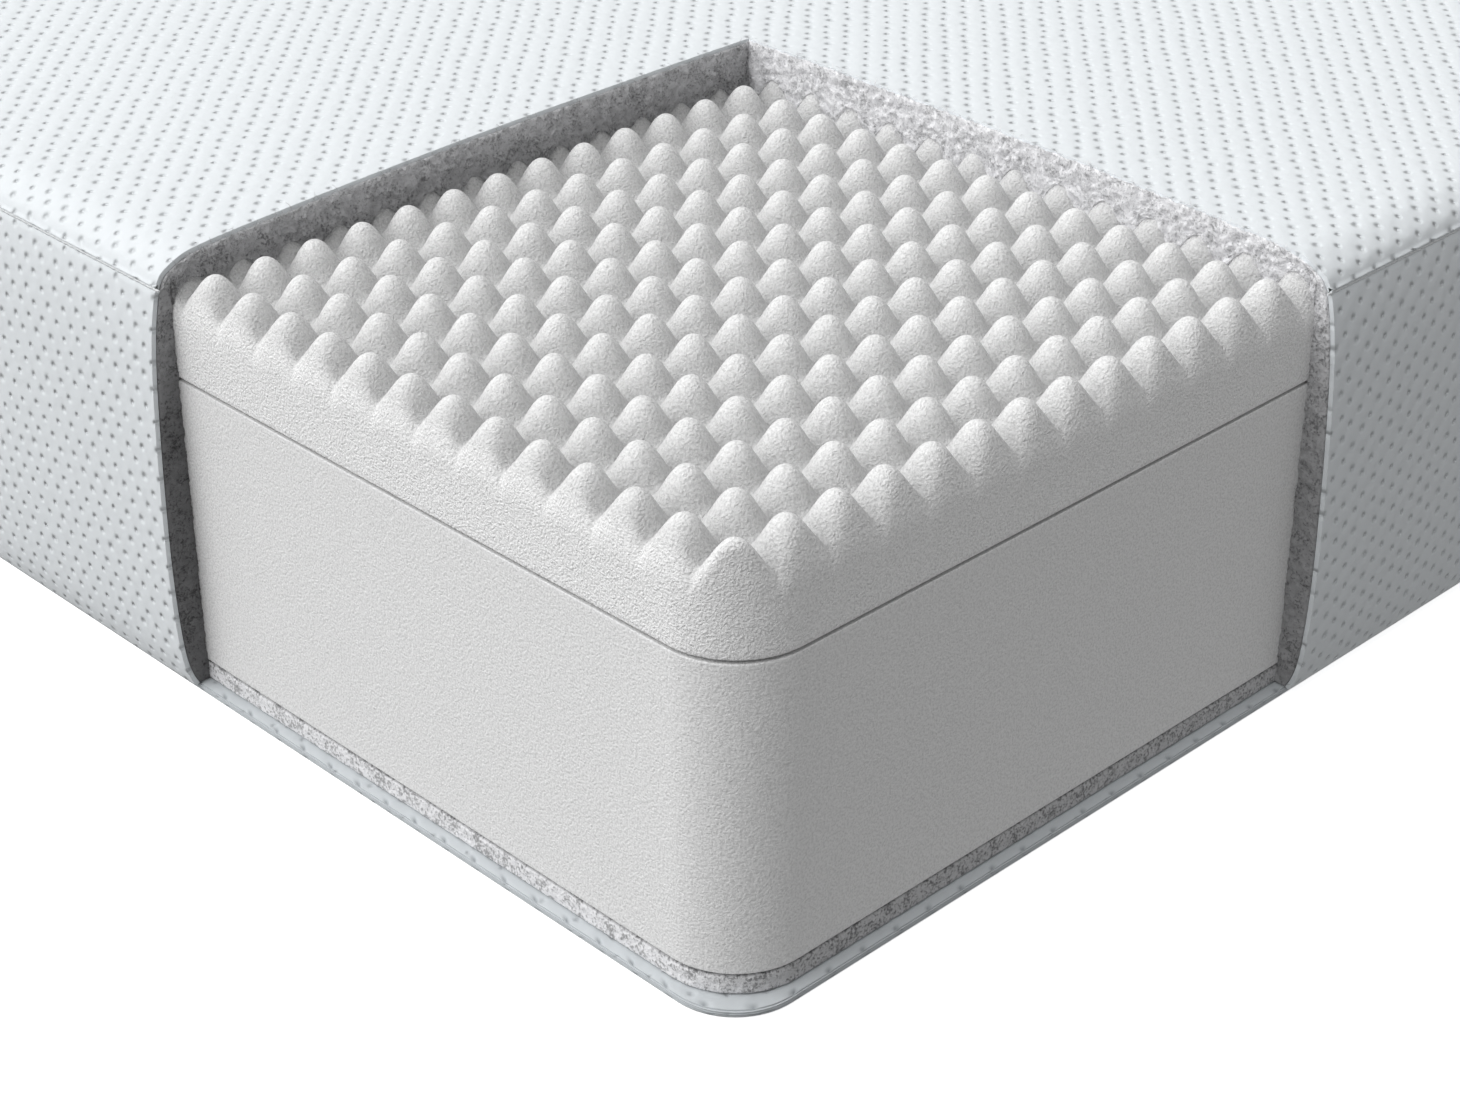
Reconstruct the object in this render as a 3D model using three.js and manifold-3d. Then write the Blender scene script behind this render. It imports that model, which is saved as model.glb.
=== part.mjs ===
// Foam mattress, 900 by 1900 mm, with one corner of its cover cut away.
// The frame is Z up, in millimetres. The origin is on the floor, under the middle of the mattress.
// X runs across the mattress, Y along it. The cut-away corner is at low X and low Y.

import * as THREE from 'three';
import { mergeVertices } from 'three/addons/utils/BufferGeometryUtils.js';
import Module from 'manifold-3d';

const wasm = await Module();
wasm.setup();

// Driving dimensions
const FOAM_WIDTH = 872.2;
const FOAM_LENGTH = 1872.2;
const FOAM_CORNER_RADIUS = 32.2;
const FOAM_EDGE_ROUND = 1.2;
const FOAM_EDGE_MIDDLE = 0.4;
const PEAK_PITCH = 24;
const CLEARANCE = 0.3;
const TICKING_THICKNESS = 2;

// Heights above the floor, from the underside up
const BASE_PANEL_TOP = 5.3;
const BASE_WADDING_BOTTOM = BASE_PANEL_TOP + CLEARANCE;
const BASE_WADDING_TOP = 14.1;
const CORE_BOTTOM = BASE_WADDING_TOP + CLEARANCE;
const CORE_TOP = 145.6;
const COMFORT_BOTTOM = CORE_TOP + CLEARANCE;
const PEAK_TOP = 192.8;
const SEAM_HEIGHT = 186;
const SEAM_GAP = 0.3;

// Egg-crate surface: rounded peaks on a square grid
const PEAKS_PER_SIDE = 14;
const FIRST_PEAK = 0.45 * PEAK_PITCH;
const FLANK_SLOPE = 3.3;
const TIP_ROUNDNESS = 0.62 * PEAK_PITCH;
const CREASE_ROUNDNESS = 0.05 * PEAK_PITCH;
const STEPS_PER_PEAK = 4;

// Corner of the cover that is cut away, measured from the foam's two side faces
const CUT_WIDTH = 318.4;
const CUT_LENGTH = 315.8;

// Wadding pressed between the peaks: its height above the foam and its distance from the side
const PRESSED_CLEARANCE = 1;
const PRESSED_MARGIN = 0.5;

const CORNER_STEPS = 8;

// Side of the cover, from its lower seam up: how far it stands off the foam
const SIDE_PROFILE = [
  { height: 5.6, standoff: 7.6 },
  { height: 16.3, standoff: 11.0 },
  { height: 31.7, standoff: 12.7 },
  { height: 61.0, standoff: 13.9 },
  { height: 102.7, standoff: 13.4 },
  { height: 129.6, standoff: 12.5 },
  { height: 155.5, standoff: 11.0 },
  { height: 173.0, standoff: 8.9 },
  { height: 186.0, standoff: 6.2 },
];

// Top of the cover, from the rounded edge to the crown: negative is inside the foam's side face
const CROWN_PROFILE = [
  { height: 191.4, standoff: 3.2 },
  { height: 194.8, standoff: -2.2 },
  { height: 197.2, standoff: -8.5 },
  { height: 198.6, standoff: -18 },
  { height: 200.4, standoff: -48 },
  { height: 202.4, standoff: -95 },
  { height: 204.4, standoff: -165 },
  { height: 205.4, standoff: -270 },
];

// Rim of the base panel, from the floor up
const BASE_RIM = [
  { height: 0, standoff: 3.2 },
  { height: 0.8, standoff: 5.4 },
  { height: 2.1, standoff: 6.7 },
  { height: 3.6, standoff: 7.2 },
  { height: 4.9, standoff: 7.0 },
  { height: 5.3, standoff: 6.5 },
];

// Upper edge of the comfort foam where the cover hides it
const COMFORT_SHOULDER = [
  { height: 181.2, standoff: 0 },
  { height: 189.2, standoff: -4.8 },
  { height: 193.0, standoff: -10.8 },
];

// Inner face of the cover over that edge
const COVER_LINING = [
  { height: 181.9, standoff: CLEARANCE },
  { height: 189.7, standoff: -4.3 },
  { height: 193.4, standoff: -10.3 },
];

const LOW_X = -FOAM_WIDTH / 2;
const LOW_Y = -FOAM_LENGTH / 2;
const EGG_SPAN = FIRST_PEAK + (PEAKS_PER_SIDE - 0.5) * PEAK_PITCH;
const MIN_CONTOUR_RADIUS = 18;

// A closed body from a geometry whose corners are shared
function solidOf(geometry) {
  const bare = geometry.clone();
  bare.deleteAttribute('normal');
  bare.deleteAttribute('uv');
  const merged = mergeVertices(bare, 1e-4);
  return new wasm.Manifold(new wasm.Mesh({
    numProp: 3,
    vertProperties: Float32Array.from(merged.attributes.position.array),
    triVerts: Uint32Array.from(merged.index.array),
  }));
}

// Plan outline of the foam pushed out by standoff, anticlockwise from above
function contour(standoff, cornerRadius) {
  const halfX = FOAM_WIDTH / 2 + standoff;
  const halfY = FOAM_LENGTH / 2 + standoff;
  const points = [];
  const corners = [
    { signX: 1, signY: -1, start: -Math.PI / 2 },
    { signX: 1, signY: 1, start: 0 },
    { signX: -1, signY: 1, start: Math.PI / 2 },
    { signX: -1, signY: -1, start: Math.PI },
  ];
  for (const { signX, signY, start } of corners) {
    const centreX = signX * (halfX - cornerRadius);
    const centreY = signY * (halfY - cornerRadius);
    for (let step = 0; step <= CORNER_STEPS; step += 1) {
      const angle = start + (step / CORNER_STEPS) * (Math.PI / 2);
      points.push([centreX + cornerRadius * Math.cos(angle), centreY + cornerRadius * Math.sin(angle)]);
    }
  }
  return points;
}

// Closed body through a stack of rounded outlines, lowest first
function loft(rows, radiusOf) {
  const rings = rows.map(({ height, standoff }) => ({ height, ring: contour(standoff, radiusOf(standoff)) }));
  const count = rings[0].ring.length;
  const positions = [];
  for (const { height, ring } of rings) {
    for (const [x, y] of ring) {
      positions.push(x, y, height);
    }
  }
  const index = [];
  for (let row = 0; row < rings.length - 1; row += 1) {
    for (let i = 0; i < count; i += 1) {
      const next = (i + 1) % count;
      const low = row * count;
      const high = low + count;
      index.push(low + i, low + next, high + next);
      index.push(low + i, high + next, high + i);
    }
  }
  const last = (rings.length - 1) * count;
  for (let i = 1; i < count - 1; i += 1) {
    index.push(0, i + 1, i);
    index.push(last, last + i, last + i + 1);
  }
  const geometry = new THREE.BufferGeometry();
  geometry.setAttribute('position', new THREE.Float32BufferAttribute(positions, 3));
  geometry.setIndex(index);
  return solidOf(geometry);
}

// Corner radius of an outline that keeps its distance from the foam
function concentricRadius(standoff) {
  return Math.max(FOAM_CORNER_RADIUS + standoff, MIN_CONTOUR_RADIUS);
}

function foamRadius() {
  return FOAM_CORNER_RADIUS;
}

// Box between two corners
function boxBetween(low, high) {
  const size = high.map((value, axis) => value - low[axis]);
  const geometry = new THREE.BoxGeometry(...size);
  geometry.translate(...low.map((value, axis) => value + size[axis] / 2));
  return solidOf(geometry);
}

// Profile moved inwards along its own normal, for the inner face of a cloth
function insetProfile(profile, depth) {
  return profile.map(({ height, standoff }, i) => {
    const before = profile[Math.max(i - 1, 0)];
    const after = profile[Math.min(i + 1, profile.length - 1)];
    const rise = after.height - before.height;
    const run = after.standoff - before.standoff;
    const length = Math.hypot(rise, run);
    return { height: height + (depth * run) / length, standoff: standoff - (depth * rise) / length };
  });
}

// Depth of the egg-crate surface below its peaks, u and v measured from the foam's side faces
function eggDrop(u, v) {
  const reach = Math.hypot(PEAK_PITCH / 2, CREASE_ROUNDNESS);
  const along = [u, v].map((value) => {
    const nearest = Math.round((value - FIRST_PEAK) / PEAK_PITCH) * PEAK_PITCH + FIRST_PEAK;
    const distance = Math.abs(value - nearest);
    return reach - Math.hypot(PEAK_PITCH / 2 - distance, CREASE_ROUNDNESS);
  });
  const radius = Math.hypot(along[0], along[1]);
  return FLANK_SLOPE * (Math.hypot(radius, TIP_ROUNDNESS) - TIP_ROUNDNESS);
}

// Closed body that fills the space above the egg-crate surface, lifted by a height
function spaceAboveEggCrate(lift) {
  const step = PEAK_PITCH / STEPS_PER_PEAK;
  const start = FIRST_PEAK - 2 * step;
  const cells = PEAKS_PER_SIDE * STEPS_PER_PEAK;
  const ceiling = PEAK_TOP + 3 * PEAK_PITCH;
  const side = cells + 1;
  const positions = [];
  for (const level of ['surface', 'ceiling']) {
    for (let i = 0; i <= cells; i += 1) {
      for (let j = 0; j <= cells; j += 1) {
        const u = start + i * step;
        const v = start + j * step;
        const height = level === 'surface' ? PEAK_TOP + lift - eggDrop(u, v) : ceiling;
        positions.push(LOW_X + u, LOW_Y + v, height);
      }
    }
  }
  const index = [];
  const above = side * side;
  for (let i = 0; i < cells; i += 1) {
    for (let j = 0; j < cells; j += 1) {
      const a = i * side + j;
      const b = a + side;
      // the diagonal of each square runs towards the nearest peak, so that ridges stay round
      const towardsPeak = (i % STEPS_PER_PEAK < 2) === (j % STEPS_PER_PEAK < 2);
      if (towardsPeak) {
        index.push(a, b + 1, b, a, a + 1, b + 1);
      } else {
        index.push(a, a + 1, b, b, a + 1, b + 1);
      }
      index.push(above + a, above + b, above + b + 1, above + a, above + b + 1, above + a + 1);
    }
  }
  const rim = [];
  for (let i = 0; i < cells; i += 1) {
    rim.push([i * side, (i + 1) * side]);
    rim.push([(i + 1) * side + cells, i * side + cells]);
    rim.push([i + 1, i]);
    rim.push([cells * side + i, cells * side + i + 1]);
  }
  for (const [a, b] of rim) {
    index.push(a, b, above + b, a, above + b, above + a);
  }
  const geometry = new THREE.BufferGeometry();
  geometry.setAttribute('position', new THREE.Float32BufferAttribute(positions, 3));
  geometry.setIndex(index);
  return solidOf(geometry);
}

// Foam layers and the wadding under them share one outline
function foamSlab(bottom, top) {
  return loft([
    { height: bottom, standoff: -FOAM_EDGE_ROUND },
    { height: bottom + FOAM_EDGE_MIDDLE, standoff: -FOAM_EDGE_MIDDLE },
    { height: bottom + FOAM_EDGE_ROUND, standoff: 0 },
    { height: top - FOAM_EDGE_ROUND, standoff: 0 },
    { height: top - FOAM_EDGE_MIDDLE, standoff: -FOAM_EDGE_MIDDLE },
    { height: top, standoff: -FOAM_EDGE_ROUND },
  ], foamRadius);
}

function waddingSlab(bottom, top) {
  return loft([{ height: bottom, standoff: 0 }, { height: top, standoff: 0 }], foamRadius);
}

const FAR = 2 * FOAM_LENGTH;
const JOIN_OVERLAP = 1;
const eggRegion = boxBetween(
  [LOW_X - FAR, LOW_Y - FAR, 0],
  [LOW_X + EGG_SPAN, LOW_Y + EGG_SPAN, FAR],
);
const hiddenRegionCut = boxBetween(
  [LOW_X - FAR, LOW_Y - FAR, 0],
  [LOW_X + EGG_SPAN - JOIN_OVERLAP, LOW_Y + EGG_SPAN - JOIN_OVERLAP, FAR],
);

// Comfort foam: raised peaks where the corner is cut away, a plain slab under the rest of the cover
function comfortFoam() {
  const foot = [
    { height: COMFORT_BOTTOM, standoff: -FOAM_EDGE_ROUND },
    { height: COMFORT_BOTTOM + FOAM_EDGE_MIDDLE, standoff: -FOAM_EDGE_MIDDLE },
    { height: COMFORT_BOTTOM + FOAM_EDGE_ROUND, standoff: 0 },
  ];
  const shoulderTop = COMFORT_SHOULDER[COMFORT_SHOULDER.length - 1].height;
  const straight = loft([...foot, { height: shoulderTop, standoff: 0 }], foamRadius);
  const hidden = loft([...foot, ...COMFORT_SHOULDER], concentricRadius);
  const peaks = straight.intersect(eggRegion).subtract(spaceAboveEggCrate(0));
  return peaks.add(hidden.subtract(hiddenRegionCut));
}

const coverProfile = [...SIDE_PROFILE, ...CROWN_PROFILE];

// Solid inside a face of the cover that lies a depth below its outer face
function coverBody(depth) {
  const rows = insetProfile(coverProfile, depth);
  const foot = { height: 0, standoff: rows[0].standoff };
  return loft([foot, ...rows], concentricRadius);
}

function slabBetween(low, high) {
  return boxBetween([-FAR, -FAR, low], [FAR, FAR, high]);
}

const cutAway = boxBetween(
  [LOW_X - FAR, LOW_Y - FAR, 0],
  [LOW_X + CUT_WIDTH, LOW_Y + CUT_LENGTH, FAR],
);
const borderHeights = slabBetween(BASE_WADDING_BOTTOM, SEAM_HEIGHT - SEAM_GAP / 2);
const topHeights = slabBetween(SEAM_HEIGHT + SEAM_GAP / 2, FAR);

// Knitted cloth: the skin of the cover, between its outer and inner face
function ticking(heights) {
  return coverBody(0).subtract(coverBody(TICKING_THICKNESS)).intersect(heights).subtract(cutAway);
}

// Fibre wadding round the sides, between the cloth and the foam
function borderWadding() {
  const foamSpace = loft([
    { height: 0, standoff: CLEARANCE },
    { height: SEAM_HEIGHT, standoff: CLEARANCE },
  ], concentricRadius);
  return coverBody(TICKING_THICKNESS + CLEARANCE).subtract(foamSpace).intersect(borderHeights).subtract(cutAway);
}

// Fibre wadding over the top, pressed between the peaks along the cut edge
function topWadding() {
  const pressed = spaceAboveEggCrate(PRESSED_CLEARANCE).intersect(boxBetween(
    [LOW_X + PRESSED_MARGIN, LOW_Y + PRESSED_MARGIN, 0],
    [LOW_X + EGG_SPAN - 2 * JOIN_OVERLAP, LOW_Y + EGG_SPAN - 2 * JOIN_OVERLAP, PEAK_TOP + PEAK_PITCH],
  ));
  const lining = loft([{ height: 0, standoff: CLEARANCE }, ...COVER_LINING], concentricRadius);
  const below = slabBetween(-FAR, SEAM_HEIGHT + SEAM_GAP / 2);
  const hollow = lining.add(below).subtract(pressed);
  return coverBody(TICKING_THICKNESS + CLEARANCE).subtract(hollow).subtract(cutAway);
}

function basePanel() {
  return loft(BASE_RIM, foamRadius);
}

const mattress = new THREE.Group();

function addPiece(name, solid, finish) {
  const mesh = solid.getMesh();
  const geometry = new THREE.BufferGeometry();
  geometry.setAttribute('position', new THREE.Float32BufferAttribute(mesh.vertProperties, 3));
  geometry.setIndex(new THREE.Uint32BufferAttribute(mesh.triVerts, 1));
  geometry.computeVertexNormals();
  const piece = new THREE.Mesh(geometry, new THREE.MeshStandardMaterial({ metalness: 0, ...finish }));
  piece.name = name;
  mattress.add(piece);
}

const knitFinish = { color: 0xe4e9ec, roughness: 0.9 };
const waddingFinish = { color: 0xc9cbcc, roughness: 1 };
const foamFinish = { color: 0xdedede, roughness: 0.95 };

addPiece('base_ticking', basePanel(), knitFinish);
addPiece('base_wadding', waddingSlab(BASE_WADDING_BOTTOM, BASE_WADDING_TOP), waddingFinish);
addPiece('base_foam', foamSlab(CORE_BOTTOM, CORE_TOP), foamFinish);
addPiece('comfort_foam', comfortFoam(), foamFinish);
addPiece('border_wadding', borderWadding(), waddingFinish);
addPiece('border_ticking', ticking(borderHeights), knitFinish);
addPiece('top_wadding', topWadding(), waddingFinish);
addPiece('top_ticking', ticking(topHeights), knitFinish);

export default mattress;
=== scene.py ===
"""Foam mattress, 900 by 1900 mm, with one corner of its knitted cover cut away.

Lengths are in metres, Z is up and the origin is on the floor under the middle of the mattress.
The cut-away corner is at low X and low Y. Sizes repeat those of the solids, with a few edges finer.
"""

import logging
import math
from abc import ABC, abstractmethod
from collections.abc import Sequence
from dataclasses import dataclass, field
from enum import Enum

import bpy
import numpy as np
from mathutils import Matrix, Vector


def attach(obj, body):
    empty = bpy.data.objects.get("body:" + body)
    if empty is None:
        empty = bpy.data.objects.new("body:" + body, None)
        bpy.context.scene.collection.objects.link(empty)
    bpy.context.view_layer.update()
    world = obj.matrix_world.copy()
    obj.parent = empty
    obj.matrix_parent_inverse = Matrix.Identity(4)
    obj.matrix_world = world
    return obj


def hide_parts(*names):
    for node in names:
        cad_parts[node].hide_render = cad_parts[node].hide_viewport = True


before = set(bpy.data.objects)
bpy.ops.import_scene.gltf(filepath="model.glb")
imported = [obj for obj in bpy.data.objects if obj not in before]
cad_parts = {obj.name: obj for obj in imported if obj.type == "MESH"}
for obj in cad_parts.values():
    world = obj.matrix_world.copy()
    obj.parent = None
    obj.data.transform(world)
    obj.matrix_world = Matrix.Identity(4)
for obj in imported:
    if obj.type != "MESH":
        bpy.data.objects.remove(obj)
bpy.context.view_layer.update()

LOG = logging.getLogger("foam_mattress")
BODY = "root"
CLOTH_MAP = "cloth"

Array = np.ndarray
Row = tuple[float, float]
Point = tuple[float, float, float]
Colour = tuple[float, float, float, float]
Triple = tuple[Array, Array, Array]


@dataclass(frozen=True)
class FoamPlan:
    """Plan outline of the foam, and of everything that keeps a distance from it."""

    half_width: float = 0.4361
    half_length: float = 0.9361
    corner_radius: float = 0.0322
    least_radius: float = 0.018
    cut_width: float = 0.3184
    cut_length: float = 0.3158

    @property
    def low_x(self) -> float:
        """Foam's side face at low X."""
        return -self.half_width

    @property
    def low_y(self) -> float:
        """Foam's side face at low Y."""
        return -self.half_length

    @property
    def cut_x(self) -> float:
        """Plane of the cut across the width."""
        return self.low_x + self.cut_width

    @property
    def cut_y(self) -> float:
        """Plane of the cut across the length."""
        return self.low_y + self.cut_length

    def standoff_at(self, x: Array, y: Array) -> Array:
        """Distance of points outside the foam's side faces, negative inside them.

        Args:
            x: places across the mattress.
            y: places along the mattress.

        Returns:
            The standoff of the rounded outline through each point.
        """
        across = np.abs(x) - self.half_width
        along = np.abs(y) - self.half_length
        near, far = np.maximum(across, along), np.minimum(across, along)
        radius = self.corner_radius
        concentric = np.hypot(np.maximum(across + radius, 0), np.maximum(along + radius, 0)) - radius
        tight = self.least_radius
        inside = np.clip(2 * tight**2 - (near - far) ** 2, 0, None)
        shrunk = tight - (-(near + far) + np.sqrt(inside)) / 2
        inner = np.where(near - far < tight, shrunk, near)
        return np.where((far > -radius) & (concentric > tight - radius), concentric, inner)


PLAN = FoamPlan()
TICKING_THICKNESS = 0.002
CLEARANCE = 0.0003
SEAM_HEIGHT = 0.186
SEAM_STANDOFF = 0.0062
SEAM_HALF_GAP = 0.00008
CUT_MARGIN = 0.0004
RIM_FLUFF = 0.15
NUDGE = 1e-4
TINY = 1e-12

# Side of the cover, from its lower edge up to the seam: (standoff, height)
SIDE_PROFILE: tuple[Row, ...] = (
    (0.0064, 0.0036),
    (0.0086, 0.0082),
    (0.0110, 0.0163),
    (0.0127, 0.0317),
    (0.0139, 0.0610),
    (0.0134, 0.1027),
    (0.0125, 0.1296),
    (0.0110, 0.1555),
    (0.0089, 0.1730),
    (SEAM_STANDOFF, SEAM_HEIGHT),
)

# Top of the cover, from the seam over its rounded edge to the crown: (standoff, height)
CROWN_PROFILE: tuple[Row, ...] = (
    (SEAM_STANDOFF, SEAM_HEIGHT),
    (0.0032, 0.1914),
    (-0.0022, 0.1948),
    (-0.0085, 0.1972),
    (-0.0180, 0.1986),
    (-0.0480, 0.2004),
    (-0.0950, 0.2024),
    (-0.1650, 0.2044),
    (-0.2700, 0.2054),
)


def smooth_rows(rows: Sequence[Row], per_span: int) -> Array:
    """A smooth line through the rows of a profile.

    Args:
        rows: points of the profile, in order.
        per_span: samples between two of them.

    Returns:
        Samples of the line, one a row.
    """
    points = np.array(rows, float)
    ends = np.vstack([2 * points[0] - points[1], points, 2 * points[-1] - points[-2]])
    blends = (((0, 1), (1, 2), (2, 3)), ((0, 2), (1, 3)), ((1, 2),))
    out = []
    for i in range(1, len(ends) - 2):
        near = ends[i - 1 : i + 3]
        knots = np.cumsum([0.0, *(max(np.linalg.norm(step), TINY) ** 0.5 for step in np.diff(near, axis=0))])
        for t in np.linspace(knots[1], knots[2], per_span, endpoint=False):
            level = near
            for spans in blends:
                ranges = [(knots[first], knots[last]) for first, last in spans]
                level = [
                    (high - t) / (high - low) * p + (t - low) / (high - low) * q
                    for (low, high), p, q in zip(ranges, level, level[1:])
                ]
            out.append(level[0])
    out.append(points[-1])
    return np.array(out)


def unit(rows: Array) -> Array:
    """Directions of length one, one a row."""
    return rows / np.linalg.norm(rows, axis=1)[:, None]


def inset(rows: Array, depth: Array | float) -> Array:
    """A profile moved inwards along its own normal.

    Args:
        rows: profile samples, lowest or outermost first.
        depth: distance to move them, for all or for each.

    Returns:
        The moved samples.
    """
    step = unit(np.gradient(rows, axis=0))
    return rows + np.reshape(depth, (-1, 1)) * np.column_stack([-step[:, 1], step[:, 0]])


def arc_lengths(rows: Array) -> Array:
    """Length along a line up to each of its points."""
    return np.concatenate([[0.0], np.cumsum(np.linalg.norm(np.diff(rows, axis=0), axis=1))])


def stations(marks: Sequence[float], spacings: Sequence[float]) -> Array:
    """Places on a line that hit every mark.

    Args:
        marks: places to hit, in order.
        spacings: about the distance between places, for each span between two marks.

    Returns:
        The places.
    """
    out = [marks[0]]
    for low, high, spacing in zip(marks, marks[1:], spacings):
        count = max(1, round((high - low) / spacing))
        out.extend(np.linspace(low, high, count + 1)[1:])
    return np.array(out)


def quarter_round(inside: Array, width: Array | float) -> Array:
    """Share of a rounded edge's fall, from 1 on its outline to 0 a width inside it."""
    lean = np.clip(1 - inside / width, 0, 1)
    return 1 - np.sqrt(np.clip(1 - lean**2, 0, 1))


def fan_angle(across: Array, along: Array) -> Array:
    """Angle round a corner of a square's grid places, from their shares of its two sides."""
    share = np.minimum(across, along) / np.maximum(np.maximum(across, along), TINY)
    return np.where(across >= along, math.pi / 4 * share, math.pi / 2 - math.pi / 4 * share)


def at_height(plan: Array, height: Array | float) -> Array:
    """Plan points lifted to a height, one for all or one for each."""
    return np.column_stack([plan, np.broadcast_to(height, len(plan))])


def per_cell(grid: Array) -> Array:
    """Values of a grid's points as the four corners of each of its cells."""
    return np.stack([grid[:-1, :-1], grid[1:, :-1], grid[1:, 1:], grid[:-1, 1:]], axis=2)


def rim_of(number: Array) -> Array:
    """Numbers of a grid's outer points, in order round it."""
    return np.concatenate([number[:-1, 0], number[-1, :-1], number[:0:-1, -1], number[0, :0:-1]])


def walls(rings: Array) -> Array:
    """Faces between rings of numbered points, lowest ring first."""
    low, high = rings[:-1], rings[1:]
    return np.stack([low, np.roll(low, -1, axis=1), np.roll(high, -1, axis=1), high], axis=-1).reshape(-1, 4)


def new_piece(
    name: str, vertices: Array, faces: Sequence[Array], flat: Sequence[int] = ()
) -> bpy.types.Object:
    """An object at the origin from vertices and faces.

    Args:
        name: name of the piece.
        vertices: places, one a row.
        faces: groups of faces with equal numbers of corners, anticlockwise from outside.
        flat: numbers of the groups that are shaded flat.

    Returns:
        The object, in the scene.
    """
    mesh = bpy.data.meshes.new(name)
    corners = np.concatenate([group.ravel() for group in faces])
    sizes = np.concatenate([np.full(len(group), group.shape[1]) for group in faces])
    mesh.vertices.add(len(vertices))
    mesh.vertices.foreach_set("co", np.asarray(vertices, np.float32).ravel())
    mesh.loops.add(len(corners))
    mesh.loops.foreach_set("vertex_index", corners.astype(np.int32))
    mesh.polygons.add(len(sizes))
    mesh.polygons.foreach_set("loop_start", (np.cumsum(sizes) - sizes).astype(np.int32))
    smooth = np.concatenate([np.full(len(group), place not in flat) for place, group in enumerate(faces)])
    mesh.polygons.foreach_set("use_smooth", smooth)
    mesh.update(calc_edges=True)
    piece = bpy.data.objects.new(name, mesh)
    bpy.context.scene.collection.objects.link(piece)
    return piece


def corner_vertices(mesh: bpy.types.Mesh) -> Array:
    """Number of the vertex at each face corner of a mesh.

    Args:
        mesh: the mesh.

    Returns:
        The numbers, in the order of the corners.
    """
    corners = np.empty(len(mesh.loops), np.int32)
    mesh.loops.foreach_get("vertex_index", corners)
    return corners


def write_uv(mesh: bpy.types.Mesh, corners: Array) -> None:
    """Stores cloth places as a UV map, one pair of numbers a face corner."""
    layer = mesh.uv_layers.new(name=CLOTH_MAP)
    layer.data.foreach_set("uv", np.asarray(corners, np.float32).ravel())


def write_attribute(mesh: bpy.types.Mesh, name: str, values: Array) -> None:
    """Stores a number or a vector for every vertex.

    Args:
        mesh: the mesh.
        name: name to store them under.
        values: a number or a row for each vertex.
    """
    flat = values.ndim == 1
    layer = mesh.attributes.new(name, "FLOAT" if flat else "FLOAT_VECTOR", "POINT")
    layer.data.foreach_set("value" if flat else "vector", np.asarray(values, np.float32).ravel())


@dataclass
class Shell:
    """A cloth of even thickness from two grids of places, open where cells are left out."""

    outer: Array
    inner: Array
    cloth: Array
    cells: Array

    def build(self, name: str) -> bpy.types.Object:
        """Closes the shell and marks it with its cloth coordinates.

        Args:
            name: name of the piece.

        Returns:
            The piece.
        """
        rows, columns = self.outer.shape[:2]
        lift = rows * columns
        quads = per_cell(np.arange(lift).reshape(rows, columns))
        padded = np.pad(self.cells, 1)
        beside = (padded[1:-1, :-2], padded[2:, 1:-1], padded[1:-1, 2:], padded[:-2, 1:-1])
        front, front_uv = quads[self.cells], self.cloth[self.cells]
        groups, marks = [front, front[:, ::-1] + lift], [front_uv, front_uv[:, ::-1]]
        for p, neighbour in enumerate(beside):
            bare = self.cells & ~neighbour
            q = (p + 1) % 4
            side = quads[bare]
            groups.append(np.stack([side[:, q], side[:, p], side[:, p] + lift, side[:, q] + lift], axis=-1))
            marks.append(self.cloth[bare][:, [q, p, p, q]])
        used, index = np.unique(np.vstack(groups), return_inverse=True)
        vertices = np.vstack([self.outer.reshape(-1, 3), self.inner.reshape(-1, 3)])[used]
        quads = index.reshape(-1, 4)
        broad = 2 * len(front)
        piece = new_piece(name, vertices, [quads[:broad], quads[broad:]], flat=(1,))
        write_uv(piece.data, np.vstack(marks))
        return piece


@dataclass(frozen=True)
class Value:
    """Output of a node, on which sums are written as on a number."""

    nodes: "Nodes"
    socket: bpy.types.NodeSocket

    def __add__(self, other: object) -> "Value":
        """This value plus another."""
        return self.nodes.math("ADD", self, other)

    def __sub__(self, other: object) -> "Value":
        """This value less another."""
        return self.nodes.math("SUBTRACT", self, other)

    def __rsub__(self, other: object) -> "Value":
        """A number less this value."""
        return self.nodes.math("SUBTRACT", other, self)

    def __mul__(self, other: object) -> "Value":
        """This value times another."""
        return self.nodes.math("MULTIPLY", self, other)

    def __truediv__(self, other: object) -> "Value":
        """This value divided by another."""
        return self.nodes.math("DIVIDE", self, other)

    def __rtruediv__(self, other: object) -> "Value":
        """A number divided by this value."""
        return self.nodes.math("DIVIDE", other, self)

    def __pow__(self, other: object) -> "Value":
        """This value to a power."""
        return self.nodes.math("POWER", self, other)


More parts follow.
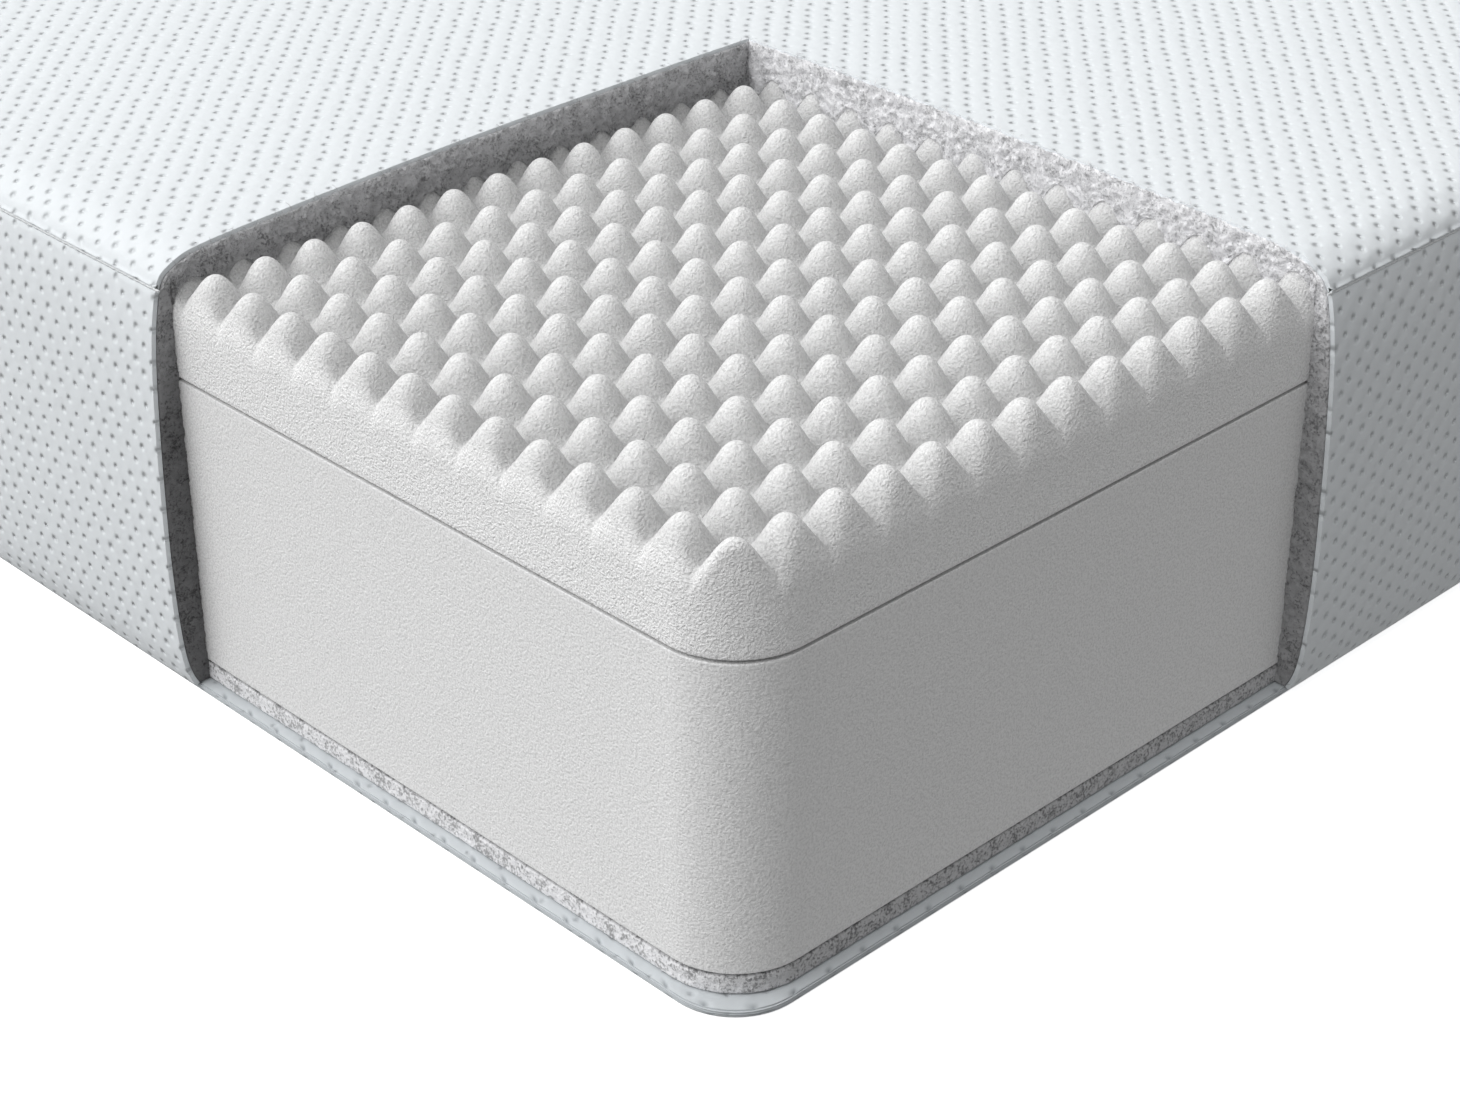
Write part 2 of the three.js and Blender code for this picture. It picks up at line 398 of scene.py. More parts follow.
class Nodes:
    """Makes and links the nodes of one tree."""

    def __init__(self, tree: bpy.types.NodeTree) -> None:
        """Takes the tree to fill."""
        self.tree = tree

    def put(self, socket: bpy.types.NodeSocket, value: object) -> None:
        """Sets an input.

        Args:
            socket: the input.
            value: a constant, a value to link it to, or a list of values to link one after another.
        """
        if isinstance(value, Value):
            self.tree.links.new(value.socket, socket)
        elif isinstance(value, list):
            for part in value:
                self.put(socket, part)
        else:
            socket.default_value = value

    def make(self, kind: str, inputs: dict | None = None, **settings: object) -> dict[str, Value]:
        """Makes a node.

        Args:
            kind: Blender's name for the node.
            inputs: what goes into each input, by name or by its number among those in use.
            settings: attributes of the node.

        Returns:
            Its outputs in use, by name.
        """
        node = self.tree.nodes.new(kind)
        for key, value in settings.items():
            setattr(node, key, value)
        used = [socket for socket in node.inputs if socket.enabled]
        for key, value in (inputs or {}).items():
            self.put(used[key] if isinstance(key, int) else node.inputs[key], value)
        return {socket.name: Value(self, socket) for socket in node.outputs if socket.enabled}

    def result(self, kind: str, inputs: dict | None = None, **settings: object) -> Value:
        """First output of a node that is made in the same way."""
        return next(iter(self.make(kind, inputs, **settings).values()))

    def math(self, operation: str, *values: object) -> Value:
        """Result of a sum on numbers."""
        return self.result("ShaderNodeMath", dict(enumerate(values)), operation=operation)

    def vector(self, operation: str, *values: object) -> Value:
        """Result of a sum on vectors."""
        return self.result("ShaderNodeVectorMath", dict(enumerate(values)), operation=operation)

    def combine(self, x: object = 0.0, y: object = 0.0, z: object = 0.0) -> Value:
        """A vector from its three parts."""
        return self.result("ShaderNodeCombineXYZ", {"X": x, "Y": y, "Z": z})

    def split(self, vector: Value) -> list[Value]:
        """The three parts of a vector."""
        return list(self.make("ShaderNodeSeparateXYZ", {0: vector}).values())

    def ramp(self, value: Value, low: float, high: float, start: float = 0.0, end: float = 1.0) -> Value:
        """A smooth step from start to end as a value goes from low to high."""
        inputs = {"Value": value, "From Min": low, "From Max": high, "To Min": start, "To Max": end}
        return self.result("ShaderNodeMapRange", inputs, interpolation_type="SMOOTHSTEP")

    def noise(self, place: Value, size: object, detail: float = 2.0, roughness: float = 0.5) -> Value:
        """Noise with features of about the given size, from 0 to 1."""
        inputs = {"Vector": place, "Scale": 1.0 / size, "Detail": detail, "Roughness": roughness}
        return self.result("ShaderNodeTexNoise", inputs)

    def blend(self, share: Value, first: object, second: object) -> Value:
        """Colour between two colours."""
        return self.result("ShaderNodeMix", {0: share, 1: first, 2: second}, data_type="RGBA")


class Rule:
    """A tree of geometry nodes with named sizes, applied to a piece and then taken off it."""

    def __init__(self, name: str) -> None:
        """Starts a tree that takes and gives a geometry.

        Args:
            name: name of the tree.
        """
        self.tree = bpy.data.node_groups.new(name, "GeometryNodeTree")
        for direction in ("OUTPUT", "INPUT"):
            self.tree.interface.new_socket("Geometry", in_out=direction, socket_type="NodeSocketGeometry")
        self.nodes = Nodes(self.tree)
        self.entry = self.tree.nodes.new("NodeGroupInput")
        self.values: dict[str, float | int] = {}

    @property
    def geometry(self) -> Value:
        """The geometry that the tree starts from."""
        return Value(self.nodes, self.entry.outputs["Geometry"])

    def sizes(self, values: dict[str, float | int]) -> list[Value]:
        """Gives the tree named inputs.

        Args:
            values: what each input holds on this piece; a whole number makes it a whole input.

        Returns:
            The inputs' values in the tree, in the same order.
        """
        for name, value in values.items():
            kind = "NodeSocketInt" if isinstance(value, int) else "NodeSocketFloat"
            socket = self.tree.interface.new_socket(name, in_out="INPUT", socket_type=kind)
            self.values[socket.identifier] = value
        return [Value(self.nodes, self.entry.outputs[name]) for name in values]

    def attribute(self, name: str, kind: str = "FLOAT") -> Value:
        """A named attribute of the geometry."""
        return self.nodes.result("GeometryNodeInputNamedAttribute", {"Name": name}, data_type=kind)

    def strand(self, points: Sequence[object], thickness: Value, steps: int, sides: int) -> Value:
        """A short bent thread with closed ends.

        Args:
            points: its start, the point that it bends towards, and its end.
            thickness: its thickness.
            steps: steps along it.
            sides: sides round it.

        Returns:
            Its mesh.
        """
        bend = dict(zip(("Start", "Middle", "End"), points), Resolution=steps)
        arc = self.nodes.result("GeometryNodeCurveQuadraticBezier", bend)
        section = {"Resolution": sides, "Radius": thickness * 0.5}
        ring = self.nodes.result("GeometryNodeCurvePrimitiveCircle", section)
        inputs = {"Curve": arc, "Profile Curve": ring, "Fill Caps": True}
        return self.nodes.result("GeometryNodeCurveToMesh", inputs)

    def apply(self, piece: bpy.types.Object, geometry: Value, material: bpy.types.Material) -> None:
        """Ends the tree and turns its result into the piece's mesh.

        Args:
            piece: object that the tree works on.
            geometry: what the tree has made.
            material: material of the result.
        """
        real = self.nodes.result("GeometryNodeRealizeInstances", {0: geometry})
        dressed = self.nodes.result("GeometryNodeSetMaterial", {"Geometry": real, "Material": material})
        self.nodes.make("NodeGroupOutput", {0: dressed})
        modifier = piece.modifiers.new(self.tree.name, "NODES")
        modifier.node_group = self.tree
        for identifier, value in self.values.items():
            modifier[identifier] = value
        graph = bpy.context.evaluated_depsgraph_get()
        solved = piece.evaluated_get(graph)
        mesh = bpy.data.meshes.new_from_object(solved, preserve_all_data_layers=True, depsgraph=graph)
        piece.modifiers.remove(modifier)
        before, piece.data = piece.data, mesh
        bpy.data.meshes.remove(before)
        mesh.name = piece.name


def grey(shade: float, blue: float = 1.0) -> Colour:
    """A grey, with its blue part raised by a factor."""
    return (shade, shade, blue * shade, 1.0)


class Surface:
    """A material in the making: its nodes and the shader that they end in."""

    def __init__(self, name: str, roughness: float, sheen: float) -> None:
        """Starts the material of a dull thing.

        Args:
            name: name of the material.
            roughness: how dull it is.
            sheen: how much its fine fibres catch the light from the side.
        """
        self.material = bpy.data.materials.new(name)
        self.material.use_nodes = True
        self.nodes = Nodes(self.material.node_tree)
        self.put({"Roughness": roughness, "Sheen Weight": sheen})
        self.put({"Specular IOR Level": 0.2, "Sheen Roughness": 0.6})

    def put(self, inputs: dict[str, object]) -> None:
        """Sets inputs of the shader."""
        for name, value in inputs.items():
            self.nodes.put(self.material.node_tree.nodes["Principled BSDF"].inputs[name], value)

    def place(self) -> Value:
        """Object coordinates."""
        return self.nodes.make("ShaderNodeTexCoord")["Object"]

    def mark(self, name: str) -> Value:
        """A number that the piece's vertices carry."""
        return self.nodes.make("ShaderNodeAttribute", attribute_name=name)["Fac"]

    def close(self, colour: Value, height: Value) -> bpy.types.Material:
        """Ends the material.

        Args:
            colour: its colour.
            height: its relief in metres.

        Returns:
            The material.
        """
        bump = self.nodes.result("ShaderNodeBump", {"Strength": 1.0, "Distance": 1.0, "Height": height})
        self.put({"Base Color": colour, "Normal": bump})
        return self.material


@dataclass(frozen=True)
class KnitFinish:
    """White knitted ticking with staggered rows of small pinched dimples.

    By chance a dimple strays within a share of the dimple pitch and of the row pitch, and its reach and
    its painted shade lie between a least and a greatest share.
    """

    name: str = "knit_ticking"
    yarn: Colour = (0.752, 0.786, 0.808, 1.0)
    # Colour of the painted shade in the dimples and in the marked creases
    hollow: Colour = (0.50, 0.54, 0.56, 1.0)
    dimple_pitch: float = 0.0132
    row_pitch: float = 0.0052
    row_shift: float = -0.573
    dimple_radius: float = 0.0019
    dimple_depth: float = 0.0015
    dimple_fall: float = 2.2
    stray: Row = (0.12, 0.16)
    reach: Row = (0.75, 1.15)
    shade: Row = (0.08, 0.32)
    shade_from: float = 0.35
    furrow_depth: float = 0.00016
    stitch_size: float = 0.0009
    stitch_depth: float = 0.00005
    puff_size: float = 0.006
    puff_depth: float = 0.00045
    wobble_scale: float = 60.0
    wobble_width: float = 0.0016

    def build(self) -> bpy.types.Material:
        """Makes the material.

        Returns:
            The material.
        """
        surface = Surface(self.name, roughness=0.92, sheen=0.12)
        nodes = surface.nodes
        cloth = nodes.result("ShaderNodeUVMap", uv_map=CLOTH_MAP)
        noise = {"Vector": cloth, "Scale": self.wobble_scale, "Detail": 1.0}
        wobble = nodes.vector("SUBTRACT", nodes.make("ShaderNodeTexNoise", noise)["Color"], (0.5, 0.5, 0.5))
        moved = nodes.vector("MULTIPLY_ADD", wobble, (self.wobble_width, self.wobble_width, 0.0), cloth)
        u, v, _ = nodes.split(moved)
        across, along = u / self.dimple_pitch, v / self.row_pitch
        row = nodes.math("FLOOR", along + 0.5)
        shifted = across - row * self.row_shift
        column = nodes.math("FLOOR", shifted + 0.5)
        cell = {"Vector": nodes.combine(column, row)}
        cast = nodes.make("ShaderNodeTexWhiteNoise", cell, noise_dimensions="2D")["Color"]
        side_chance, row_chance, chance = nodes.split(cast)
        off_row = (along - row + (row_chance - 0.5) * self.stray[1]) * self.row_pitch
        off_side = (shifted - column + (side_chance - 0.5) * self.stray[0]) * self.dimple_pitch
        away = nodes.math("SQRT", off_row**2.0 + off_side**2.0)
        near = away / ((chance * (self.reach[1] - self.reach[0]) + self.reach[0]) * self.dimple_radius)
        dimple = nodes.math("EXPONENT", near**2.0 * -self.dimple_fall)
        furrow = nodes.math("COSINE", (across - along * (self.row_shift + 1.0)) * (2 * math.pi))
        height = dimple * -self.dimple_depth + furrow * (-self.furrow_depth / 2)
        height = height + nodes.noise(cloth, self.stitch_size, roughness=0.6) * self.stitch_depth
        height = height + nodes.noise(cloth, self.puff_size, detail=1.0) * self.puff_depth
        # Painted shade: darker in the dimples, and in the grooves and pinches that the piece's crease mark
        # gives
        deep = chance * (self.shade[1] - self.shade[0]) + self.shade[0]
        shade = nodes.math("MAXIMUM", nodes.ramp(dimple, self.shade_from, 1.0) * deep, surface.mark("crease"))
        return surface.close(nodes.blend(shade, self.yarn, self.hollow), height)


@dataclass(frozen=True)
class FoamFinish:
    """Fine-celled foam with a wrinkled orange-peel skin, with painted shade in the hollows and gaps that the
    piece marks.
    """

    name: str
    body: Colour
    dark: Colour
    cell_depth: float = 0.0006
    crease_depth: float = 0.0010
    cell_size: float = 0.0010
    crease_size: float = 0.0018
    cells: Row = (0.30, 0.62)
    painted_shade_strength: float = 0.30

    def build(self) -> bpy.types.Material:
        """Makes the material.

        Returns:
            The material.
        """
        surface = Surface(self.name, roughness=0.95, sheen=0.05)
        nodes, place = surface.nodes, surface.place()
        cells = nodes.noise(place, self.cell_size, roughness=0.55)
        crease = nodes.math("ABSOLUTE", nodes.noise(place, self.crease_size, detail=1.0) - 0.5)
        shade = nodes.blend(nodes.ramp(cells, *self.cells, 1.0, 0.0), self.body, self.dark)
        # Painted shade: the piece's mark darkens the colour between the peaks and along the gap between the
        # layers
        light = 1.0 - surface.mark("hollow") * self.painted_shade_strength
        height = crease * self.crease_depth + cells * self.cell_depth
        return surface.close(nodes.vector("SCALE", shade, light), height)


@dataclass(frozen=True)
class WaddingFinish:
    """Loose fibre wadding with dark specks between its fibres, with painted light where the piece's mark says
    so.

    Its greys in painted shade blend into its greys in painted light; each pair is the grey of the fibres,
    then the grey of the specks.
    """

    name: str
    # Greys in painted shade, then greys in painted light: shaded and lit copies of one wadding
    in_painted_shade: Row
    pale: Row
    specks: Row = (0.47, 0.66)
    blue: float = 1.02
    tuft_size: float = 0.0060
    speck_size: float = 0.0012
    speck_share: float = 0.62
    relief: float = 0.0006

    def build(self) -> bpy.types.Material:
        """Makes the material.

        Returns:
            The material.
        """
        surface = Surface(self.name, roughness=1.0, sheen=0.1)
        nodes, place, mark = surface.nodes, surface.place(), surface.mark("pale")
        tuft = nodes.noise(place, self.tuft_size, roughness=0.6)
        speck = nodes.noise(place, self.speck_size, roughness=0.65)
        dark = nodes.ramp(tuft * (1 - self.speck_share) + speck * self.speck_share, *self.specks)
        # Painted light: the piece's mark blends the shaded greys into the lit ones
        pairs = zip(self.in_painted_shade, self.pale)
        shades = [nodes.blend(mark, grey(in_painted_shade, self.blue), grey(pale, self.blue)) for in_painted_shade, pale in pairs]
        return surface.close(nodes.blend(dark, *shades), speck * self.relief)


@dataclass(frozen=True)
class ThreadFinish:
    """Grey sewing thread."""

    name: str = "seam_thread"
    shade: Colour = (0.80, 0.82, 0.83, 1.0)
    dark: Colour = (0.68, 0.697, 0.7055, 1.0)
    ply_size: float = 0.0004
    ply_depth: float = 0.0001

    def build(self) -> bpy.types.Material:
        """Makes the material.

        Returns:
            The material.
        """
        surface = Surface(self.name, roughness=0.8, sheen=0.1)
        ply = surface.nodes.noise(surface.place(), self.ply_size, detail=1.0)
        return surface.close(surface.nodes.blend(ply, self.shade, self.dark), ply * self.ply_depth)


# Copy of the knit for the base panel: its yarn is darkened as painted shade on the rim under the mattress,
# with darker painted shade in its dimples, grooves and pinches
BASE_KNIT = KnitFinish(
    name="base_knit",
    yarn=(0.56, 0.59, 0.61, 1.0),
    hollow=(0.26, 0.28, 0.30, 1.0),
    dimple_pitch=0.0172,
    row_pitch=0.0088,
    dimple_depth=0.0007,
)
# Each wadding's greys in painted shade and in painted light
TOP_WADDING = WaddingFinish("top_wadding", in_painted_shade=(0.40, 0.14), pale=(0.90, 0.46))
SIDE_WADDING = WaddingFinish("side_wadding", in_painted_shade=(0.17, 0.05), pale=(0.88, 0.38))
BASE_WADDING = WaddingFinish("base_wadding", in_painted_shade=(0.54, 0.17), pale=(0.88, 0.38), specks=(0.46, 0.61))
CORE_FOAM = FoamFinish("core_foam", grey(0.885), grey(0.72), cell_depth=0.0003, crease_depth=0.0005)
COMFORT_FOAM = FoamFinish("comfort_foam", grey(0.965), grey(0.77))


class Finish(Enum):
    """Every finish of the mattress, with the slot that it fills."""

    KNIT = (KnitFinish(), "knit_ticking")
    TOP_WADDING = (TOP_WADDING, "fibre_wadding")
    SIDE_WADDING = (SIDE_WADDING, "fibre_wadding")
    BASE_WADDING = (BASE_WADDING, "fibre_wadding")
    BASE_KNIT = (BASE_KNIT, "knit_ticking")
    CORE = (CORE_FOAM, "core_foam")
    COMFORT = (COMFORT_FOAM, "comfort_foam")
    THREAD = (ThreadFinish(), "knit_ticking")


class Workshop:
    """Makes the materials and dresses the pieces."""

    def __init__(self) -> None:
        """Builds the materials."""
        self.materials = {finish: finish.value[0].build() for finish in Finish}

    def dress(self, piece: bpy.types.Object, finish: Finish, *nodes: str) -> None:
        """Gives a piece its material, its body and the nodes that it stands for.

        Args:
            piece: the piece.
            finish: its finish.
            nodes: names of the nodes that it replaces.
        """
        piece.data.materials.clear()
        piece.data.materials.append(self.materials[finish])
        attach(piece, BODY)
        if nodes:
            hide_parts(*nodes)
        stands_for = ", ".join(nodes) or "itself"
        LOG.info("%s: %d faces, stands for %s", piece.name, len(piece.data.polygons), stands_for)


def ring_of(standoff: float, radius: float, straight: Sequence[Array], corner_steps: int) -> Array:
    """Points round the plan, anticlockwise from the start of the low-Y side.

    Args:
        standoff: distance outside the foam's side faces.
        radius: corner radius.
        straight: shares along each of the four straight stretches, from 0 to 1.
        corner_steps: steps round each corner.

    Returns:
        Plan points, one a row.
    """
    half_x, half_y = PLAN.half_width + standoff, PLAN.half_length + standoff
    centre_x, centre_y = half_x - radius, half_y - radius
    starts = ((-centre_x, -half_y), (half_x, -centre_y), (centre_x, half_y), (-half_x, centre_y))
    ends = ((centre_x, -half_y), (half_x, centre_y), (-centre_x, half_y), (-half_x, -centre_y))
    centres = ((centre_x, -centre_y), (centre_x, centre_y), (-centre_x, centre_y), (-centre_x, -centre_y))
    points = []
    for side in range(4):
        start, end = np.array(starts[side]), np.array(ends[side])
        points.append(start + straight[side][:, None] * (end - start))
        angle = (side - 1 + np.arange(1, corner_steps) / corner_steps) * math.pi / 2
        points.append(np.array(centres[side]) + radius * np.column_stack([np.cos(angle), np.sin(angle)]))
    return np.vstack(points)


def shares_round(radius: float, reach: Row, fine: float, coarse: float) -> list[Array]:
    """Shares along the four straight stretches of a ring, close together at the cut corner.

    Args:
        radius: corner radius of the ring.
        reach: how far they lie close together on the low-Y side and on the low-X side.
        fine: spacing there.
        coarse: spacing elsewhere.

    Returns:
        The shares of each stretch.
    """
    wide, long = 2 * (PLAN.half_width - radius), 2 * (PLAN.half_length - radius)
    return [
        stations((0, reach[0] / wide, 1), (fine / wide, coarse / wide)),
        stations((0, 1), (coarse / long,)),
        stations((0, 1), (coarse / wide,)),
        stations((0, 1 - reach[1] / long, 1), (coarse / long, fine / long)),
    ]


def outward_round(radius: float, straight: Sequence[Array], corner_steps: int) -> Array:
    """Direction out of the foam's side at each point of a ring, of length one."""
    start = ring_of(0.0, radius, straight, corner_steps)
    return unit(ring_of(NUDGE, radius + NUDGE, straight, corner_steps) - start)


def stacked_body(rings: Sequence[Array]) -> tuple[Array, list[Array]]:
    """Closed body through rings of equal count, with flat ends.

    Args:
        rings: places round each level, lowest first.

    Returns:
        Vertices, and the faces of the side, the bottom and the top.
    """
    number = np.arange(len(rings[0]) * len(rings)).reshape(len(rings), -1)
    return np.vstack(rings), [walls(number), number[0, ::-1][None], number[-1][None]]


def rounded_edge(height: float, radius: float, steps: int, rising: bool) -> list[Row]:
    """Standoff and height of a quarter round from a flat end at a height, out to the side face.

    Args:
        height: height of the flat end.
        radius: radius of the edge.
        steps: steps round it.
        rising: whether the side face is above the end.

    Returns:
        The rows, from the flat end to the side face.
    """
    sign = 1 if rising else -1
    angles = np.linspace(0, math.pi / 2, steps + 1)
    return [(-radius * (1 - math.sin(a)), height + sign * radius * (1 - math.cos(a))) for a in angles]


@dataclass
class CoreFoam:
    """Plain lower block of foam with softened edges, with painted shadow on its top and upper edges, where
    the gap to the layer above runs.
    """

    bottom: float = 0.0143
    top: float = 0.1449
    edge: float = 0.0005
    gap_shade: float = 0.8
    edge_steps: int = 5
    side_steps: int = 12
    corner_steps: int = 24

    def build(self) -> bpy.types.Object:
        """Makes the block.

        Returns:
            The piece.
        """
        low = rounded_edge(self.bottom, self.edge, self.edge_steps, rising=True)
        high = rounded_edge(self.top, self.edge, self.edge_steps, rising=False)[::-1]
        middle = [(0.0, self.bottom + 3 * self.edge), (0.0, self.top - 3 * self.edge)]
        straight = [np.linspace(0, 1, self.side_steps + 1)] * 4
        rings, painted_shades = [], []
        for standoff, height in low + middle + high:
            plan = ring_of(standoff, PLAN.corner_radius, straight, self.corner_steps)
            rings.append(at_height(plan, height))
            # Painted shadow of the gap above: none on the side face, full on the flat top
            inside = -standoff / self.edge if height > self.top - 2 * self.edge else 0.0
            painted_shades.append(np.full(len(plan), self.gap_shade * inside))
        piece = new_piece("core_foam", *stacked_body(rings))
        write_attribute(piece.data, "hollow", np.concatenate(painted_shades))
        return piece


@dataclass
class ComfortFoam:
    """Upper layer of foam, with rows of rounded peaks where the cover is cut away.

    Peaks next to a side face lean on it: the ground between them falls away less towards that face.
    """

    bottom: float = 0.1461
    peak_top: float = 0.1924
    pitch: float = 0.024
    first_peak: float = 0.45 * 0.024
    peaks: int = 14
    peak_depth: float = 0.76 * 0.024 - 0.0004
    peak_width: float = 0.43 * 0.024
    peak_power: float = 2.5
    outer_reach: float = 0.95
    outer_fill: float = 0.60
    roll_width: Row = (0.0030, 0.0050)
    roll_height: Row = (0.0040, 0.0125)
    shoulder: float = 0.0108
    edge: float = 0.0009
    edge_steps: int = 5
    side_falls: Row = (0.0015, 0.0040)
    skirt: float = 0.0125
    # Painted shade: this share of it on the peaks' tops, all of it from the next share of their depth down
    painted_shade_start: float = 0.4
    painted_shade_full: float = 0.6
    per_peak: int = 20
    roll_steps: int = 12
    least_step: float = 0.3
    coarse: float = 0.036
    corner_steps: int = 8
    corner_power: float = 0.7

    @property
    def span(self) -> float:
        """Width and length of the peaks' region from the foam's side faces."""
        return self.first_peak + (self.peaks - 0.5) * self.pitch

    def drop(self, u: Array, v: Array) -> Array:
        """Depth of the surface below the peaks' tops.

        Args:
            u: distance inside the low-X side face.
            v: distance inside the low-Y side face.

        Returns:
            The depth at each place.
        """
        away = []
        for value in (u, v):
            nearest = np.round((value - self.first_peak) / self.pitch)
            away.append(value - np.clip(nearest, 0, self.peaks - 1) * self.pitch - self.first_peak)
        reach = []
        for value, beside in zip((u, v), reversed(away)):
            between = np.clip(np.abs(beside) / (self.pitch / 2), 0, 1)
            outer = self.outer_reach - self.outer_fill * between**2
            reach.append(np.where(value < self.first_peak, outer, 1.0))
        near = np.hypot(away[0] * reach[0], away[1] * reach[1]) / self.peak_width
        return self.peak_depth * (1 - np.exp(-(near**self.peak_power)))

    def roll(self, u: Array, v: Array, inside: Array) -> Array:
        """How far the edge over the side face rounds down, wider on the peaks' flanks than on their tops.

        Args:
            u: distance inside the low-X side face.
            v: distance inside the low-Y side face.
            inside: distance inside the rounded outline.

        Returns:
            The extra drop.
        """
        share = np.clip(self.drop(u, v) / self.peak_depth, 0, 1)
        limits = (self.roll_width, self.roll_height)
        width, height = (low * (1 - share) + high * share for low, high in limits)
        return height * quarter_round(inside, width)

    def lines(self, low: float, high: float) -> Array:
        """Grid places across the foam, dense over the peaks.

        Args:
            low: side face at the cut corner.
            high: side face across from it.

        Returns:
            The places, from low to high.
        """
        fine = self.pitch / self.per_peak
        widest = self.roll_width[1]
        roll = low + widest * (1 - np.cos(np.linspace(0, math.pi / 2, self.roll_steps + 1)))
        before = math.floor((self.first_peak - widest) / fine - self.least_step)
        region = np.arange(low + self.first_peak - before * fine, low + self.span + fine / 2, fine)
        rest = stations((low + self.span + CLEARANCE, high - PLAN.corner_radius), (self.coarse,))
        corner = 1 - np.linspace(0, 1, self.corner_steps + 1)[1:] ** self.corner_power
        return np.concatenate([roll, region, rest, high - PLAN.corner_radius * corner])

    def shape(self, piece: bpy.types.Object, material: bpy.types.Material) -> None:
        """Sinks the surface between the peaks by their rule, and marks painted shade, deepest in the hollows
        between them.

        Args:
            piece: the layer with a flat top, and how far each point follows the rule.
            material: the foam's material.
        """
        rule = Rule("egg_crate_peaks")
        nodes, mask = rule.nodes, rule.attribute("peaks")
        pitch, first, last, depth, width, power, outer, fill, low_x, low_y = rule.sizes(
            {
                "Peak Pitch": self.pitch,
                "First Peak": self.first_peak,
                "Last Peak": float(self.peaks - 1),
                "Peak Depth": self.peak_depth,
                "Peak Width": self.peak_width,
                "Peak Power": self.peak_power,
                "Outer Reach": self.outer_reach,
                "Outer Fill": self.outer_fill,
                "Low Side X": PLAN.low_x,
                "Low Side Y": PLAN.low_y,
            }
        )
        values, aways, squares = [], [], []
        for place, low in zip(nodes.split(nodes.result("GeometryNodeInputPosition")), (low_x, low_y)):
            value = place - low - first
            nearest = nodes.math("MAXIMUM", nodes.math("ROUND", value / pitch), 0.0)
            values.append(value)
            aways.append(value - nodes.math("MINIMUM", nearest, last) * pitch)
        for value, away, beside in zip(values, aways, reversed(aways)):
            between = nodes.math("MINIMUM", nodes.math("ABSOLUTE", beside) * 2.0 / pitch, 1.0)
            reach = outer - fill * between**2.0
            off = away + nodes.math("MINIMUM", value, 0.0) * (reach - 1.0)
            squares.append(off * off)
        near = nodes.math("SQRT", squares[0] + squares[1]) / width
        share = (1.0 - nodes.math("EXPONENT", near**power * -1.0)) * mask
        within = nodes.ramp(rule.attribute("inside"), 0.0, self.roll_width[1])
        # Painted shade, deepest in the hollows and fading out towards the outline, stored for the foam's
        # material
        hollow = nodes.ramp(share, 0.0, self.painted_shade_full, self.painted_shade_start, 1.0) * within * mask
        inputs = {"Geometry": rule.geometry, "Name": "hollow", "Value": hollow}
        marked = nodes.result("GeometryNodeStoreNamedAttribute", inputs, data_type="FLOAT", domain="POINT")
        offset = nodes.combine(z=share * depth * -1.0)
        moved = nodes.result("GeometryNodeSetPosition", {"Geometry": marked, "Offset": offset})
        rule.apply(piece, moved, material)

    def build(self, material: bpy.types.Material) -> bpy.types.Object:
        """Makes the layer.

        Args:
            material: its material.

        Returns:
            The piece.
        """
        xs = self.lines(-PLAN.half_width, PLAN.half_width)
        ys = self.lines(-PLAN.half_length, PLAN.half_length)
        x, y = rounded_corners(*np.meshgrid(xs, ys, indexing="ij"), PLAN.corner_radius)
        inside = -PLAN.standoff_at(x, y)
        u, v = x - PLAN.low_x, y - PLAN.low_y
        egg = (u <= self.span) & (v <= self.span)
        shoulder = self.shoulder * quarter_round(inside, self.shoulder)
        z = self.peak_top - np.where(egg, self.roll(u, v, inside), shoulder)
        number = np.arange(x.size).reshape(x.shape)
        loop = rim_of(number)
        top = np.stack([x, y, z], axis=-1).reshape(-1, 3)
        weights = [egg.ravel().astype(float)]
        rim, rim_weight = top[loop], weights[0][loop]
        levels = []
        for fall in self.side_falls:
            levels.append(rim - np.array([0, 0, fall]))
            weights.append(rim_weight)
        foot = rounded_edge(self.bottom, self.edge, self.edge_steps, rising=True)[::-1]
        for standoff, height in [(0.0, self.bottom + self.skirt), (0.0, self.bottom + 3 * self.edge), *foot]:
            grow = 1 + standoff / np.array([PLAN.half_width, PLAN.half_length])
            levels.append(at_height(rim[:, :2] * grow, height))
            weights.append(np.zeros(len(rim)))
        below = len(loop) * len(levels)
        rings = np.vstack([loop, len(top) + np.arange(below).reshape(len(levels), -1)])
        faces = [per_cell(number).reshape(-1, 4), walls(rings[::-1]), rings[-1, ::-1][None]]
        piece = new_piece("comfort_foam_peaks", np.vstack([top, *levels]), faces)
        write_attribute(piece.data, "peaks", np.concatenate(weights))
        write_attribute(piece.data, "inside", np.concatenate([inside.ravel(), np.zeros(below)]))
        self.shape(piece, material)
        return piece


def rounded_corners(x: Array, y: Array, radius: float) -> tuple[Array, Array]:
    """Grid places with each square corner turned into a quarter round.

    Args:
        x: places across, out to the foam's side faces.
        y: places along.
        radius: corner radius, and the size of the square that it takes up.

    Returns:
        The moved places.
    """
    a = np.clip((np.abs(x) - (PLAN.half_width - radius)) / radius, 0, None)
    b = np.clip((np.abs(y) - (PLAN.half_length - radius)) / radius, 0, None)
    reach, angle = np.maximum(a, b), fan_angle(a, b)
    turned = (a > 0) & (b > 0)
    round_x = np.sign(x) * (PLAN.half_width - radius + radius * reach * np.cos(angle))
    round_y = np.sign(y) * (PLAN.half_length - radius + radius * reach * np.sin(angle))
    return np.where(turned, round_x, x), np.where(turned, round_y, y)


class Side(Enum):
    """Sides in the order that the border runs round them: axis, end of it, and way that the run takes."""

    LOW_Y = (1, -1, 1)
    HIGH_X = (0, 1, 1)
    HIGH_Y = (1, 1, -1)
    LOW_X = (0, -1, -1)


